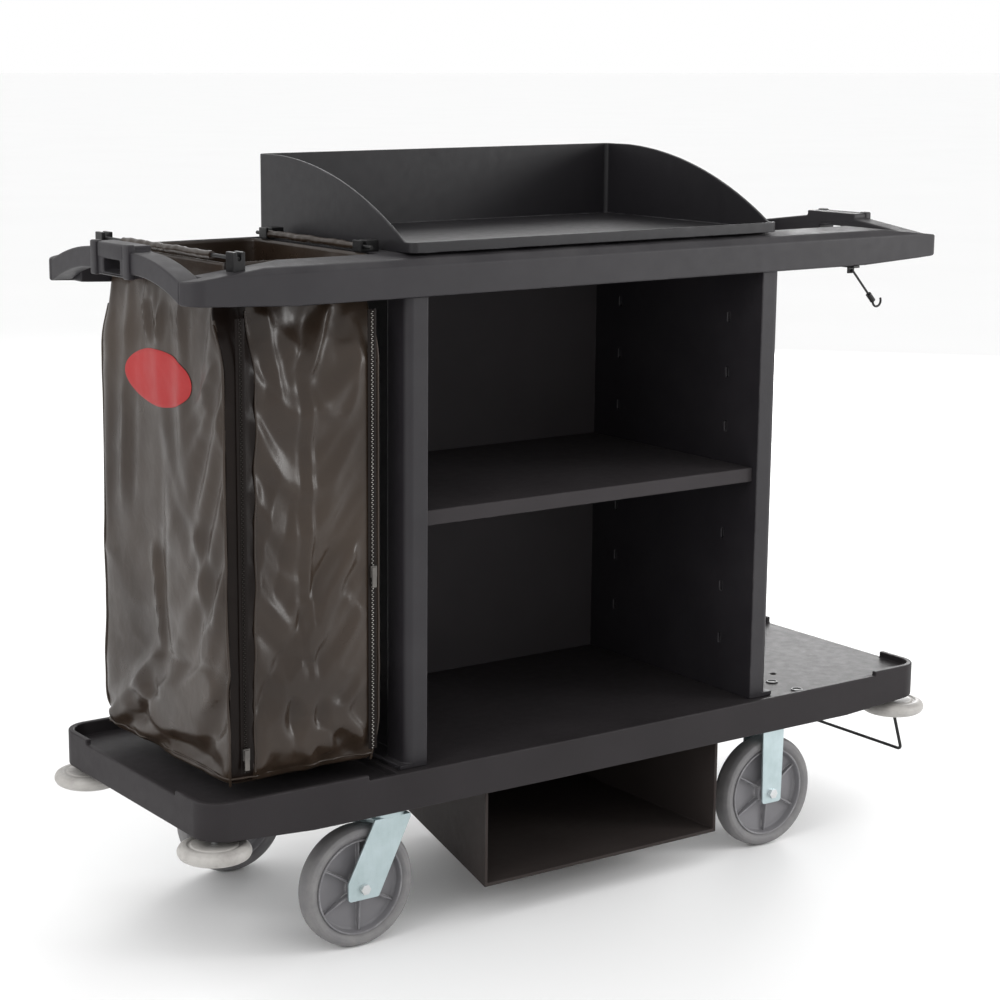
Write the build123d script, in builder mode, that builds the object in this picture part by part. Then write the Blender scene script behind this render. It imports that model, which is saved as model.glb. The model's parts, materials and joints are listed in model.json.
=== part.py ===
from build123d import *
import os

# Housekeeping cart, in millimetres. X runs along the cart, Y across it with the open cabinet
# front facing -Y, and Z up. The origin is on the floor under the middle of the deck.

# Overall sizes
deck_length = 1512.0
deck_width = 512.0
wheel_radius = 101.5
cabinet_width = 690.0
cabinet_middle = 5.0
cabinet_height = 757.0
frame_overhang = 9.0
frame_inset = 10.0

# Deck
deck_bow = 7.0
deck_corner = 45.0
deck_wall = 5.0
deck_over_casters = 45.0
plate_thick = 6.0
apron_depth = 59.0
apron_end_rise = 11.0
apron_taper = 190.0
tray_drop = 11.0
tray_gap = 10.0
rim_height = 4.0
rim_width = 10.0
lip_height = 8.0
lip_side = 100.0
left_lip_length = 290.0
right_lip_length = 120.0
rib_thick = 4.0
tray_rib_inset = 156.0
wall_rib_insets = (30.0, 38.0)
platform_rib_insets = (196.0, 96.0)
accessory_hole_radius = 5.0
accessory_hole_gap = 110.0
accessory_hole_y = 132.0

# Cabinet
column_thick = 40.0
column_depth = 65.0
column_wall = 5.0
column_corner = 14.0
panel_thick = 10.0
wall_inset = 11.0
foot_ledge = 12.0
foot_height = 8.0
foot_back_gap = 19.0
back_thick = 6.0
back_inset = 8.0
shelf_height = 416.0
shelf_depth = 25.0
shelf_plate = 4.0
shelf_front_inset = 11.0
fit_gap = 0.3
slot_width = 6.0
slot_height = 18.0
slot_depth = 6.0
slot_pitch = 96.0
slot_rows = (-3, -2, -1, 0, 1, 2, 3)
slot_inset = 20.0
peg_height = 16.0
peg_reach = 12.0

# Top frame
rail_width = 60.0
rail_wall = 5.0
rail_edge_height = 49.0
rail_inner_height = 65.0
rail_slope_in = 9.0
rail_slope_up = 10.0
rail_corner = 30.0
rail_solid_end = 46.0
rail_end_drop = 21.0
rail_end_rise = 9.0
rail_taper = 185.0
crossbar_thick = 38.0
crossbar_block = 124.0
crossbar_block_low = 34.0
crossbar_block_high = 84.0
crossbar_hole_width = 56.0
crossbar_hole_height = 20.0
crossbar_hole_drop = 9.5
right_bar_drop = 12.0
arm_low = 41.0
arm_height = 34.0
arm_end_low = 9.0
arm_end_high = 43.0
arm_bend_shift = 12.0
arm_top_sag = 11.0
arm_under_sag = 9.0
top_panel_overhang = 10.0
panel_wall = 5.0

# Organizer on top of the cabinet
organizer_left_inset = 15.0
organizer_right_inset = 2.0
organizer_front_inset = 20.0
organizer_back_inset = 2.0
organizer_wall = 5.0
organizer_round = 12.5
organizer_inner_round = 7.5
organizer_rim = 17.0
guard_height = 134.0
wing_foot = 22.0
wing_mid_drop = 25.0

# Under-deck box
box_left_inset = 107.0
box_right_inset = 82.0
box_front_inset = 8.0
box_back_inset = 56.0
box_height = 220.0
box_wall = 6.0
box_slant = 125.0
box_flange = 16.0
box_flange_thick = 5.0

# Bag
bag_end_inset = 61.0
bag_wall_gap = 20.0
bag_side_inset = 24.0
bag_lift = 31.0
bag_shoulder_drop = 9.0
bag_wall = 3.0
bag_corner = 22.0
neck_end_inset = 24.0
neck_panel_gap = 5.0
neck_gap = 2.0
rod_radius = 3.0
rod_lift = 8.0
outer_rod_inset = 22.0
inner_rod_inset = 10.0
clip_length = 20.0
clip_width = 24.0
clip_bury = 6.0
clip_top = 10.0
clip_slot_gap = 0.2
wall_clip_inset = 41.0
wall_clip_reach = 34.0
wall_clip_lead = 5.0
zip_width = 16.0
zip_thick = 1.2
zip_bottom_gap = 22.0
zip_top_gap = 6.0
front_zip_inset = 24.0
corner_zip_inset = 27.0
slider_width = 11.0
slider_height = 18.0
slider_thick = 4.0
front_slider_height = 280.0
corner_slider_height = 22.0
pull_length = 34.0
pull_width = 8.0
pull_thick = 1.6
pull_seat = 2.0

# Casters
tyre_width = 38.0
tyre_thick = 21.5
tyre_round = 7.0
rim_thick = 5.0
rim_width_y = 34.0
hub_radius = 22.0
hub_width = 42.0
spoke_count = 6
spoke_width = 5.0
spoke_thick = 26.0
wheel_web = 5.0
spoke_bury = 2.0
bush_radius = 8.0
bush_side = 1.5
axle_radius = 5.0
axle_tail = 2.0
running_gap = 0.05
fork_side_gap = 0.5
fork_thick = 4.0
fork_top_width = 68.0
fork_end_height = 36.0
fork_end_round = 6.0
swivel_end_width = 60.0
rigid_end_width = 44.0
fork_leg_width = 50.0
crown_thick = 6.0
crown_clearance = 4.0
caster_plate_x = 105.0
caster_plate_y = 86.0
caster_plate_thick = 5.0
caster_pad_margin = 3.0
caster_lead = 55.0
swivel_inset = 63.0
rigid_inset = 64.0
kingpin_radius = 6.0
kingpin_head = 10.0
kingpin_head_height = 8.0
cup_radius = 36.0
cup_height = 12.0
race_outer = 33.0
race_inner = 17.0
race_height = 13.0
bolt_radius = 4.0
bolt_head = 6.5
bolt_head_height = 5.0
bolt_clearance = 0.3
bolt_inset_x = 10.5
bolt_inset_y = 11.0
bolt_depth = 19.0
nut_radius = 9.0
nut_height = 6.0

# Corner bumpers
bumper_radius = 58.0
bumper_inset_x = 34.0
bumper_inset_y = 38.0
bumper_height = 24.0
bumper_gap = 2.0
bumper_round = 8.0
bumper_pin_radius = 5.0
bumper_pin_head = 12.0
bumper_pin_head_height = 6.0
bumper_pin_top_gap = 4.0
bumper_recess = 14.0
bumper_recess_depth = 10.0
bumper_boss = 16.0

# Wire hoop
hoop_wire = 3.0
hoop_bend = 9.0
hoop_inset_x = 22.0
hoop_inset_y = 44.0
hoop_below = 33.0
hoop_reach = 24.0
hoop_drop = 76.0
hoop_stub = 66.0
bracket_width = 14.0
bracket_thick = 6.0
bracket_foot = 34.0
bracket_lip = 7.0
bracket_side_gap = 1.0

# Hanging hook
hook_inset_x = 207.0
hook_inset_y = 13.0
hook_drop = 9.0
hook_wire = 2.0
hook_run = 52.0
hook_fall = 56.0
hook_side_gap = 1.0
hook_tail = 3.0
hook_bead_radius = 5.0
hook_bead_share = 0.22
bow_points = ((13.5, -9.9), (18.0, 3.6))
ear_thick = 4.0
ear_width = 14.0
ear_lip = 5.0

# Feet bolts, box screws and dowels
foot_bolt_radius = 3.0
foot_bolt_head = 5.0
foot_bolt_head_height = 4.0
foot_bolt_tail = 1.0
foot_bolt_inner = 50.0
foot_bolt_pad_gap = 29.0
foot_nut_height = 5.0
box_screw_places = (-150.0, -20.0, 130.0)
box_screw_radius = 2.9
box_screw_head_height = 3.0
box_screw_cover = 2.0
pilot_cover = 1.0
dowel_radius = 6.0
dowel_depth = 25.0
dowel_seat = 30.0

os.makedirs("parts", exist_ok=True)

# Heights that follow from the wheels upwards
hub_z = wheel_radius
crown_low = 2 * wheel_radius + crown_clearance
crown_top = crown_low + crown_thick
cup_low = crown_top + race_height
plate_under = cup_low + cup_height
caster_top = plate_under + caster_plate_thick
plate_top = caster_top + deck_over_casters
plate_low = plate_top - plate_thick
tray_top = plate_top - tray_drop
tray_low = tray_top - plate_thick
rim_top = plate_top + rim_height
lip_top = rim_top + lip_height
apron_bottom = plate_top - apron_depth
bumper_high = apron_bottom - bumper_gap
bumper_low = bumper_high - bumper_height
hoop_z = apron_bottom - hoop_below
box_bottom = plate_low - box_height
foot_top = plate_top + foot_height
shelf_top = plate_top + shelf_height
shelf_low = shelf_top - shelf_depth
frame_bottom = plate_top + cabinet_height
roof_top = frame_bottom + rail_inner_height
guard_top = roof_top + guard_height
rim_level = roof_top + organizer_rim
bag_bottom = tray_top + bag_lift
bag_shoulder = frame_bottom - bag_shoulder_drop
rod_height = roof_top + rod_lift
zip_bottom = bag_bottom + zip_bottom_gap
zip_top = bag_shoulder - zip_top_gap

# Places along X
half_deck = deck_length / 2
half_frame = half_deck + frame_overhang
left_inner = cabinet_middle - cabinet_width / 2
right_inner = cabinet_middle + cabinet_width / 2
left_outer = left_inner - column_thick
right_outer = right_inner + column_thick
tray_edge = left_outer - foot_ledge - tray_gap
top_panel_half = right_outer + top_panel_overhang
box_left = left_inner + box_left_inset
box_right = right_inner - box_right_inset
bag_left = bag_end_inset - half_deck
bag_right = left_outer - foot_ledge - bag_wall_gap
neck_left = bag_left + neck_end_inset
neck_right = -top_panel_half - neck_panel_gap
front_zip_x = bag_right - front_zip_inset
corner_zip_x = bag_left + corner_zip_inset
swivel_x = left_inner - swivel_inset
rigid_x = right_inner + rigid_inset
bumper_x = half_deck - bumper_inset_x
hoop_x = half_deck - hoop_inset_x
hook_x = half_frame - hook_inset_x
rib_places = (
    tray_rib_inset - half_deck,
    left_inner + wall_rib_insets[0],
    right_inner - wall_rib_insets[1],
    half_deck - platform_rib_insets[0],
    half_deck - platform_rib_insets[1],
)

# Places across Y
half_depth = deck_width / 2
half_width = half_depth - frame_inset
rail_inner_y = half_width - rail_width
half_wall = half_width - wall_inset
slot_offset = half_wall - column_depth - slot_inset
dowel_y = half_wall - column_depth / 2
back_front_face = half_wall - back_inset - back_thick
shelf_front = shelf_front_inset - half_wall
box_front = box_front_inset - half_depth
box_back = half_depth - box_back_inset
bag_half_width = half_width - bag_side_inset
neck_half = rail_inner_y - neck_gap
caster_y = half_depth - deck_wall - caster_pad_margin - caster_plate_y / 2
foot_bolt_outer = caster_y - caster_plate_y / 2 - caster_pad_margin - foot_bolt_pad_gap
foot_bolt_places = (-foot_bolt_outer, -foot_bolt_inner, foot_bolt_inner, foot_bolt_outer)
bumper_y = half_depth - bumper_inset_y
hoop_half_width = half_depth - hoop_inset_y
bracket_y = hoop_half_width - hoop_stub - bracket_width / 2 - bracket_side_gap
hook_y = hook_inset_y - half_width

# Caster sizes that follow from each other
tyre_inner = wheel_radius - tyre_thick
rim_inner = tyre_inner - rim_thick
bush_half = hub_width / 2 + bush_side
fork_gap = bush_half + fork_side_gap
bolt_x = caster_plate_x / 2 - bolt_inset_x
bolt_y = caster_plate_y / 2 - bolt_inset_y
pad_x = caster_plate_x + 2 * caster_pad_margin
pad_y = caster_plate_y + 2 * caster_pad_margin
swivel_places = {"front_left": (swivel_x, -caster_y), "rear_left": (swivel_x, caster_y)}
rigid_places = {"front_right": (rigid_x, -caster_y), "rear_right": (rigid_x, caster_y)}
caster_places = {**swivel_places, **rigid_places}
foot_bolt_lines = (left_outer - foot_ledge / 2, right_outer + foot_ledge / 2)
column_middles = (left_inner - column_thick / 2, right_inner + column_thick / 2)
cut = 1.0


def box_screw_list():
    """Where the under-deck box's screws go, the left row along its slanted side."""
    centres = []
    for screw_y in box_screw_places:
        slant = box_slant * (screw_y - box_front) / (box_back - box_front)
        centres.append((box_left - box_flange / 2 + slant, screw_y))
        centres.append((box_right + box_flange / 2, screw_y))
    return centres


box_screw_centres = box_screw_list()


def write_part(built, name):
    built.part.label = name
    export_step(built.part, f"parts/{name}.step")


def block(low, high, mode=Mode.ADD):
    """A box between two opposite corners."""
    size = [b - a for a, b in zip(low, high)]
    with Locations(low):
        Box(*size, align=(Align.MIN, Align.MIN, Align.MIN), mode=mode)


def upright(x, y, low, high, radius, mode=Mode.ADD):
    """A vertical cylinder between two heights."""
    with Locations((x, y, low)):
        Cylinder(radius, high - low, align=(Align.CENTER, Align.CENTER, Align.MIN), mode=mode)


def across(x, y_low, y_high, z, radius, mode=Mode.ADD):
    """A cylinder along Y between two places."""
    with BuildSketch(Plane.XZ.offset(-y_high)) as profile:
        with Locations((x, z)):
            Circle(radius)
    extrude(profile.sketch, amount=y_high - y_low, mode=mode)


def hex_across(x, y_low, y_high, z, radius):
    """A hexagonal head or nut along Y."""
    with BuildSketch(Plane.XZ.offset(-y_high)) as profile:
        with Locations((x, z)):
            RegularPolygon(radius, 6)
    extrude(profile.sketch, amount=y_high - y_low)


def hex_upright(x, y, low, high, radius):
    """A hexagonal head or nut along Z."""
    with BuildSketch(Plane.XY.offset(low)) as profile:
        with Locations((x, y)):
            RegularPolygon(radius, 6)
    extrude(profile.sketch, amount=high - low)


def wire_run(start, end, radius):
    """A straight run of round wire with a ball at its start."""
    run = Vector(*end) - Vector(*start)
    with BuildSketch(Plane(origin=start, z_dir=run)) as profile:
        Circle(radius)
    extrude(profile.sketch, amount=run.length)
    with Locations(start):
        Sphere(radius)


def deck_outline(inset):
    """The deck seen from above: long sides bow outward, corners are round."""
    reach_x = half_deck - inset
    reach_y = half_depth - inset
    with BuildSketch(mode=Mode.PRIVATE) as outline:
        with BuildLine():
            ThreePointArc((-reach_x, -reach_y), (0, -reach_y - deck_bow), (reach_x, -reach_y))
            Line((reach_x, -reach_y), (reach_x, reach_y))
            ThreePointArc((reach_x, reach_y), (0, reach_y + deck_bow), (-reach_x, reach_y))
            Line((-reach_x, reach_y), (-reach_x, -reach_y))
        make_face()
        fillet(outline.vertices(), deck_corner - inset)
    return outline.sketch


# Deck ---------------------------------------------------------------------------------------


def deck_layer(inset, low, high, x_low, x_high, mode):
    """A slab of the deck's outline between two heights and two places along X."""
    with BuildSketch(Plane.XY.offset(low)) as profile:
        add(deck_outline(inset))
        with Locations(((x_low + x_high) / 2, 0)):
            Rectangle(x_high - x_low, 2 * deck_width, mode=Mode.INTERSECT)
    extrude(profile.sketch, amount=high - low, mode=mode)


with BuildPart() as base_deck:
    deck_layer(0, apron_bottom, lip_top, -deck_length, deck_length, Mode.ADD)
    # Hollow underside, deeper right of the tray
    deck_layer(deck_wall, apron_bottom, tray_low, -deck_length, deck_length, Mode.SUBTRACT)
    deck_layer(deck_wall, tray_low, plate_low, tray_edge + plate_thick, deck_length, Mode.SUBTRACT)
    # Recessed tray on the left and the flat plate on the right, inside the rim
    deck_layer(rim_width, tray_top, lip_top, -deck_length, tray_edge, Mode.SUBTRACT)
    deck_layer(rim_width, plate_top, lip_top, tray_edge, deck_length, Mode.SUBTRACT)
    # The rim stands higher at the corners only, and is missing on the right end
    block(
        (-half_deck - cut, lip_side - half_depth, rim_top),
        (half_deck + cut, half_depth - lip_side, lip_top),
        Mode.SUBTRACT,
    )
    block(
        (left_lip_length - half_deck, -deck_width, rim_top),
        (half_deck - right_lip_length, deck_width, lip_top),
        Mode.SUBTRACT,
    )
    block(
        (half_deck - rim_width - cut, lip_side - half_depth, plate_top),
        (half_deck + cut, half_depth - lip_side, lip_top),
        Mode.SUBTRACT,
    )
    # Ribs, caster pads and bumper bosses under the plate
    for rib_x in rib_places:
        rib_reach = half_depth - deck_wall + cut
        rib_top = tray_low if rib_x < tray_edge else plate_low
        block(
            (rib_x - rib_thick / 2, -rib_reach, caster_top),
            (rib_x + rib_thick / 2, rib_reach, rib_top),
        )
    for pad_place_x, pad_place_y in caster_places.values():
        pad_top = tray_low if pad_place_x < 0 else plate_low
        block(
            (pad_place_x - pad_x / 2, pad_place_y - pad_y / 2, caster_top),
            (pad_place_x + pad_x / 2, pad_place_y + pad_y / 2, pad_top),
        )
        for bolt_place in GridLocations(2 * bolt_x, 2 * bolt_y, 2, 2):
            upright(
                pad_place_x + bolt_place.position.X,
                pad_place_y + bolt_place.position.Y,
                caster_top,
                caster_top + bolt_depth + cut,
                bolt_radius + bolt_clearance,
                Mode.SUBTRACT,
            )
    for side_x in (-1, 1):
        boss_top = tray_low if side_x < 0 else plate_low
        for side_y in (-1, 1):
            boss_x = side_x * bumper_x
            boss_y = side_y * bumper_y
            upright(boss_x, boss_y, apron_bottom - bumper_gap / 2, boss_top, bumper_boss)
            pin_hole = bumper_pin_radius + running_gap
            upright(boss_x, boss_y, bumper_high, tray_low - bumper_gap, pin_hole, Mode.SUBTRACT)
    # The apron is shallower towards both ends
    for side_x in (-1, 1):
        with BuildSketch(Plane.XZ):
            with BuildLine():
                Polyline(
                    (side_x * (half_deck - apron_taper), apron_bottom),
                    (side_x * (half_deck + cut), apron_bottom + apron_end_rise),
                    (side_x * (half_deck + cut), apron_bottom - cut),
                    (side_x * (half_deck - apron_taper), apron_bottom - cut),
                    close=True,
                )
            make_face()
        extrude(amount=deck_width, both=True, mode=Mode.SUBTRACT)
    # Bolt holes of the cabinet's feet, and two accessory holes in the right platform
    for foot_x in foot_bolt_lines:
        for foot_y in foot_bolt_places:
            hole = foot_bolt_radius + bolt_clearance
            upright(foot_x, foot_y, plate_low - cut, plate_top + cut, hole, Mode.SUBTRACT)
    for side_y in (-1, 1):
        upright(
            right_outer + accessory_hole_gap,
            side_y * accessory_hole_y,
            plate_low - cut,
            plate_top + cut,
            accessory_hole_radius,
            Mode.SUBTRACT,
        )
    # Pilot holes of the under-deck box's screws
    for screw_x, screw_y in box_screw_centres:
        low = plate_low - cut
        high = plate_top - pilot_cover
        upright(screw_x, screw_y, low, high, foot_bolt_radius, Mode.SUBTRACT)
write_part(base_deck, "base_deck")


# Cabinet ------------------------------------------------------------------------------------


def side_wall(inner_x, out):
    """A moulded end wall: a panel between two hollow columns on a bolted foot."""
    outer_x = inner_x + out * column_thick
    middle_x = inner_x + out * column_thick / 2
    with BuildPart() as wall:
        with BuildSketch(Plane.XY.offset(plate_top)):
            with Locations((inner_x + out * panel_thick / 2, 0)):
                Rectangle(panel_thick, 2 * dowel_y)
            with Locations((middle_x, 0)):
                with GridLocations(0, 2 * dowel_y, 1, 2):
                    Rectangle(column_thick, column_depth)
        extrude(amount=frame_bottom - plate_top)
        outer_edges = wall.edges().filter_by(Axis.Z).group_by(Axis.X)[-1 if out > 0 else 0]
        fillet(outer_edges, column_corner)
        # Hollow columns, closed near the top where the dowels go in
        for side in (-1, 1):
            middle_y = side * dowel_y
            block(
                (
                    middle_x - column_thick / 2 + column_wall,
                    middle_y - column_depth / 2 + column_wall,
                    plate_top,
                ),
                (
                    middle_x + column_thick / 2 - column_wall,
                    middle_y + column_depth / 2 - column_wall,
                    frame_bottom - dowel_depth - column_wall,
                ),
                Mode.SUBTRACT,
            )
            upright(
                middle_x,
                middle_y,
                frame_bottom - dowel_depth,
                frame_bottom + cut,
                dowel_radius + running_gap,
                Mode.SUBTRACT,
            )
        # Foot ledge outside the wall, with its bolt holes
        ledge_low = min(inner_x, outer_x + out * foot_ledge)
        ledge_high = max(inner_x, outer_x + out * foot_ledge)
        ledge_back = half_wall - foot_back_gap
        block((ledge_low, -half_wall, plate_top), (ledge_high, ledge_back, plate_top + foot_height))
        for foot_y in foot_bolt_places:
            hole = foot_bolt_radius + bolt_clearance
            foot_x = outer_x + out * foot_ledge / 2
            upright(foot_x, foot_y, plate_top, plate_top + foot_height, hole, Mode.SUBTRACT)
        # Rows of shelf slots in the inner face
        slot_top = shelf_low + (slot_height - peg_height) / 2
        for row in slot_rows:
            for side in (-1, 1):
                far_x = inner_x + out * slot_depth
                block(
                    (
                        min(inner_x, far_x),
                        side * slot_offset - slot_width / 2,
                        slot_top - slot_height + row * slot_pitch,
                    ),
                    (
                        max(inner_x, far_x),
                        side * slot_offset + slot_width / 2,
                        slot_top + row * slot_pitch,
                    ),
                    Mode.SUBTRACT,
                )
    return wall


write_part(side_wall(left_inner, -1), "left_wall")
write_part(side_wall(right_inner, 1), "right_wall")

with BuildPart() as back_panel:
    block(
        (left_inner, back_front_face, plate_top),
        (right_inner, back_front_face + back_thick, frame_bottom),
    )
write_part(back_panel, "back_panel")

with BuildPart() as middle_shelf:
    block(
        (left_inner + fit_gap, shelf_front, shelf_low),
        (right_inner - fit_gap, back_front_face - fit_gap, shelf_top),
    )
    block(
        (left_inner + fit_gap + shelf_plate, shelf_front + shelf_plate, shelf_low),
        (
            right_inner - fit_gap - shelf_plate,
            back_front_face - fit_gap - shelf_plate,
            shelf_top - shelf_plate,
        ),
        Mode.SUBTRACT,
    )
write_part(middle_shelf, "middle_shelf")

with BuildPart() as shelf_pegs:
    for inner_x, out in ((left_inner, -1), (right_inner, 1)):
        for side in (-1, 1):
            ends = sorted((inner_x + out * slot_depth, inner_x - out * peg_reach))
            block(
                (
                    ends[0],
                    side * slot_offset - slot_width / 2 + fit_gap,
                    shelf_low - peg_height,
                ),
                (ends[1], side * slot_offset + slot_width / 2 - fit_gap, shelf_low),
            )
write_part(shelf_pegs, "shelf_pegs")


# Top frame ----------------------------------------------------------------------------------


def rail_section(side, inset, low):
    """The rail's cross-section: upright front, short slope, crowned top, upright back."""
    outer = half_width - inset
    inner = rail_inner_y + inset
    with BuildSketch(mode=Mode.PRIVATE) as section:
        with BuildLine():
            Polyline(
                (side * outer, low),
                (side * outer, frame_bottom + rail_edge_height - inset),
                (
                    side * (outer - rail_slope_in),
                    frame_bottom + rail_edge_height + rail_slope_up - inset,
                ),
                (side * inner, roof_top - inset),
                (side * inner, low),
                close=True,
            )
        make_face()
    return section.sketch


def side_rail(side):
    """A hollow rail along the cart, solid at its ends and over the columns."""
    with BuildPart() as rail:
        with BuildSketch(Plane.YZ):
            add(rail_section(side, 0, frame_bottom))
        extrude(amount=half_frame, both=True)
        # Hollows, open underneath, between the solid stretches, lower under the tapered tops
        tip_ceiling = roof_top - rail_end_drop - rail_wall
        for start, stop, ceiling in (
            (rail_solid_end - half_frame, rail_taper - half_frame, tip_ceiling),
            (rail_taper - half_frame, column_middles[0] - dowel_seat, roof_top),
            (column_middles[0] + dowel_seat, column_middles[1] - dowel_seat, roof_top),
            (column_middles[1] + dowel_seat, half_frame - rail_taper, roof_top),
            (half_frame - rail_taper, half_frame - rail_solid_end, tip_ceiling),
        ):
            with BuildSketch(Plane.YZ.offset(start)):
                add(rail_section(side, rail_wall, frame_bottom - cut))
                with Locations((0, ceiling + half_width)):
                    Rectangle(4 * half_width, 2 * half_width, mode=Mode.SUBTRACT)
            extrude(amount=stop - start, mode=Mode.SUBTRACT)
        # Round outer corners, seen from above
        outer_corners = rail.edges().filter_by(Axis.Z).group_by(Axis.Y)[-1 if side > 0 else 0]
        fillet(outer_corners, rail_corner)
        # Both ends taper in height
        for end in (-1, 1):
            tip = end * (half_frame + cut)
            root = end * (half_frame - rail_taper)
            for level, change, far in (
                (roof_top, -rail_end_drop, roof_top + cut),
                (frame_bottom, rail_end_rise, frame_bottom - cut),
            ):
                with BuildSketch(Plane.XZ):
                    with BuildLine():
                        Polyline(
                            (root, level), (tip, level + change), (tip, far), (root, far), close=True
                        )
                    make_face()
                extrude(amount=2 * half_width, both=True, mode=Mode.SUBTRACT)
        for middle_x in column_middles:
            upright(
                middle_x,
                side * dowel_y,
                frame_bottom - cut,
                frame_bottom + dowel_depth,
                dowel_radius + running_gap,
                Mode.SUBTRACT,
            )
        # The crossbars run through the rails' ends up to the round corners
        for end in (-1, 1):
            near_x, far_x = sorted((end * (half_frame - crossbar_thick), end * (half_frame + cut)))
            near_y, far_y = sorted((side * (rail_inner_y - cut), side * (half_width - rail_corner)))
            low = frame_bottom - cut
            block((near_x, near_y, low), (far_x, far_y, roof_top + cut), Mode.SUBTRACT)
    return rail


write_part(side_rail(-1), "front_rail")
write_part(side_rail(1), "rear_rail")


def crossbar(end):
    """An end handle: two arms arch up from the rails to a pierced centre block."""
    root = crossbar_block / 2 - cut
    reach = half_width - rail_corner
    bend = (reach + crossbar_block / 2) / 2 + arm_bend_shift
    drop = right_bar_drop if end > 0 else 0
    low_arm = frame_bottom + arm_low - drop
    high_arm = low_arm + arm_height
    start = end * half_frame - (crossbar_thick if end > 0 else 0)
    with BuildPart() as bar:
        with BuildSketch(Plane.YZ.offset(start)):
            for side in (-1, 1):
                with BuildLine():
                    ThreePointArc(
                        (side * reach, frame_bottom + arm_end_high),
                        (side * bend, high_arm - arm_top_sag),
                        (side * root, high_arm),
                    )
                    Line((side * root, high_arm), (side * root, low_arm))
                    ThreePointArc(
                        (side * root, low_arm),
                        (side * bend, low_arm - arm_under_sag),
                        (side * reach, frame_bottom + arm_end_low),
                    )
                    Line(
                        (side * reach, frame_bottom + arm_end_low),
                        (side * reach, frame_bottom + arm_end_high),
                    )
                make_face()
            block_height = crossbar_block_high - crossbar_block_low
            block_middle = frame_bottom + crossbar_block_low + block_height / 2 - drop
            with Locations((0, block_middle)):
                Rectangle(crossbar_block, block_height)
            with Locations((0, block_middle - crossbar_hole_drop)):
                Rectangle(crossbar_hole_width, crossbar_hole_height, mode=Mode.SUBTRACT)
        extrude(amount=crossbar_thick)
    return bar


write_part(crossbar(-1), "left_crossbar")
write_part(crossbar(1), "right_crossbar")

with BuildPart() as top_panel:
    block((-top_panel_half, -rail_inner_y, frame_bottom), (top_panel_half, rail_inner_y, roof_top))
    block(
        (panel_wall - top_panel_half, panel_wall - rail_inner_y, frame_bottom),
        (top_panel_half - panel_wall, rail_inner_y - panel_wall, roof_top - panel_wall),
        Mode.SUBTRACT,
    )
write_part(top_panel, "top_panel")

with BuildPart() as frame_dowels:
    for middle_x in column_middles:
        for side in (-1, 1):
            upright(
                middle_x,
                side * dowel_y,
                frame_bottom - dowel_depth,
                frame_bottom + dowel_depth,
                dowel_radius,
            )
write_part(frame_dowels, "frame_dowels")


# Organizer ----------------------------------------------------------------------------------

with BuildPart() as organizer:
    organizer_left = left_outer + organizer_left_inset
    organizer_right = right_outer - organizer_right_inset
    organizer_front = organizer_front_inset - half_width
    organizer_back = half_width - organizer_back_inset
    block(
        (organizer_left, organizer_front, roof_top),
        (organizer_right, organizer_back, guard_top),
    )
    fillet(organizer.edges().filter_by(Axis.Z), organizer_round)
    with BuildSketch(Plane.XY.offset(roof_top + organizer_wall)):
        with Locations(
            (
                (organizer_left + organizer_right) / 2,
                (organizer_front + organizer_back) / 2,
            )
        ):
            RectangleRounded(
                organizer_right - organizer_left - 2 * organizer_wall,
                organizer_back - organizer_front - 2 * organizer_wall,
                organizer_inner_round,
            )
    extrude(amount=guard_height, mode=Mode.SUBTRACT)
    # The wings curve down from the back guard to the low front rim
    with BuildSketch(Plane.YZ.offset(organizer_left - cut)):
        with BuildLine():
            Line((organizer_front - cut, rim_level), (organizer_front + wing_foot, rim_level))
            ThreePointArc(
                (organizer_front + wing_foot, rim_level),
                ((organizer_front + organizer_back) / 2, guard_top - wing_mid_drop),
                (organizer_back - organizer_wall, guard_top),
            )
            Line(
                (organizer_back - organizer_wall, guard_top),
                (organizer_back - organizer_wall, guard_top + cut),
            )
            Line(
                (organizer_back - organizer_wall, guard_top + cut),
                (organizer_front - cut, guard_top + cut),
            )
            Line((organizer_front - cut, guard_top + cut), (organizer_front - cut, rim_level))
        make_face()
    extrude(amount=organizer_right - organizer_left + 2 * cut, mode=Mode.SUBTRACT)
write_part(organizer, "organizer")


# Under-deck box -----------------------------------------------------------------------------


def box_plan(inset, front):
    """The box seen from above, with its slanted left side."""
    slope = box_slant / (box_back - box_front)
    with BuildSketch(mode=Mode.PRIVATE) as plan:
        with BuildLine():
            Polyline(
                (box_left + inset + slope * (front - box_front), front),
                (box_right - inset, front),
                (box_right - inset, box_back - inset),
                (box_left + box_slant + inset - slope * inset, box_back - inset),
                close=True,
            )
        make_face()
    return plan.sketch


with BuildPart() as under_deck_box:
    with BuildSketch(Plane.XY.offset(box_bottom)):
        add(box_plan(0, box_front))
    extrude(amount=plate_low - box_bottom)
    with BuildSketch(Plane.XY.offset(plate_low - box_flange_thick)):
        add(box_plan(-box_flange, box_front))
    extrude(amount=box_flange_thick)
    with BuildSketch(Plane.XY.offset(box_bottom + box_wall)):
        add(box_plan(box_wall, box_front - cut))
    extrude(amount=plate_low, mode=Mode.SUBTRACT)
    for screw_x, screw_y in box_screw_centres:
        hole = foot_bolt_radius + bolt_clearance
        low = plate_low - box_flange_thick - cut
        upright(screw_x, screw_y, low, plate_low, hole, Mode.SUBTRACT)
write_part(under_deck_box, "under_deck_box")

with BuildPart() as box_screws:
    for screw_x, screw_y in box_screw_centres:
        seat = plate_low - box_flange_thick
        upright(screw_x, screw_y, seat, plate_top - box_screw_cover, box_screw_radius)
        upright(screw_x, screw_y, seat - box_screw_head_height, seat, foot_bolt_head)
write_part(box_screws, "box_screws")

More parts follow.
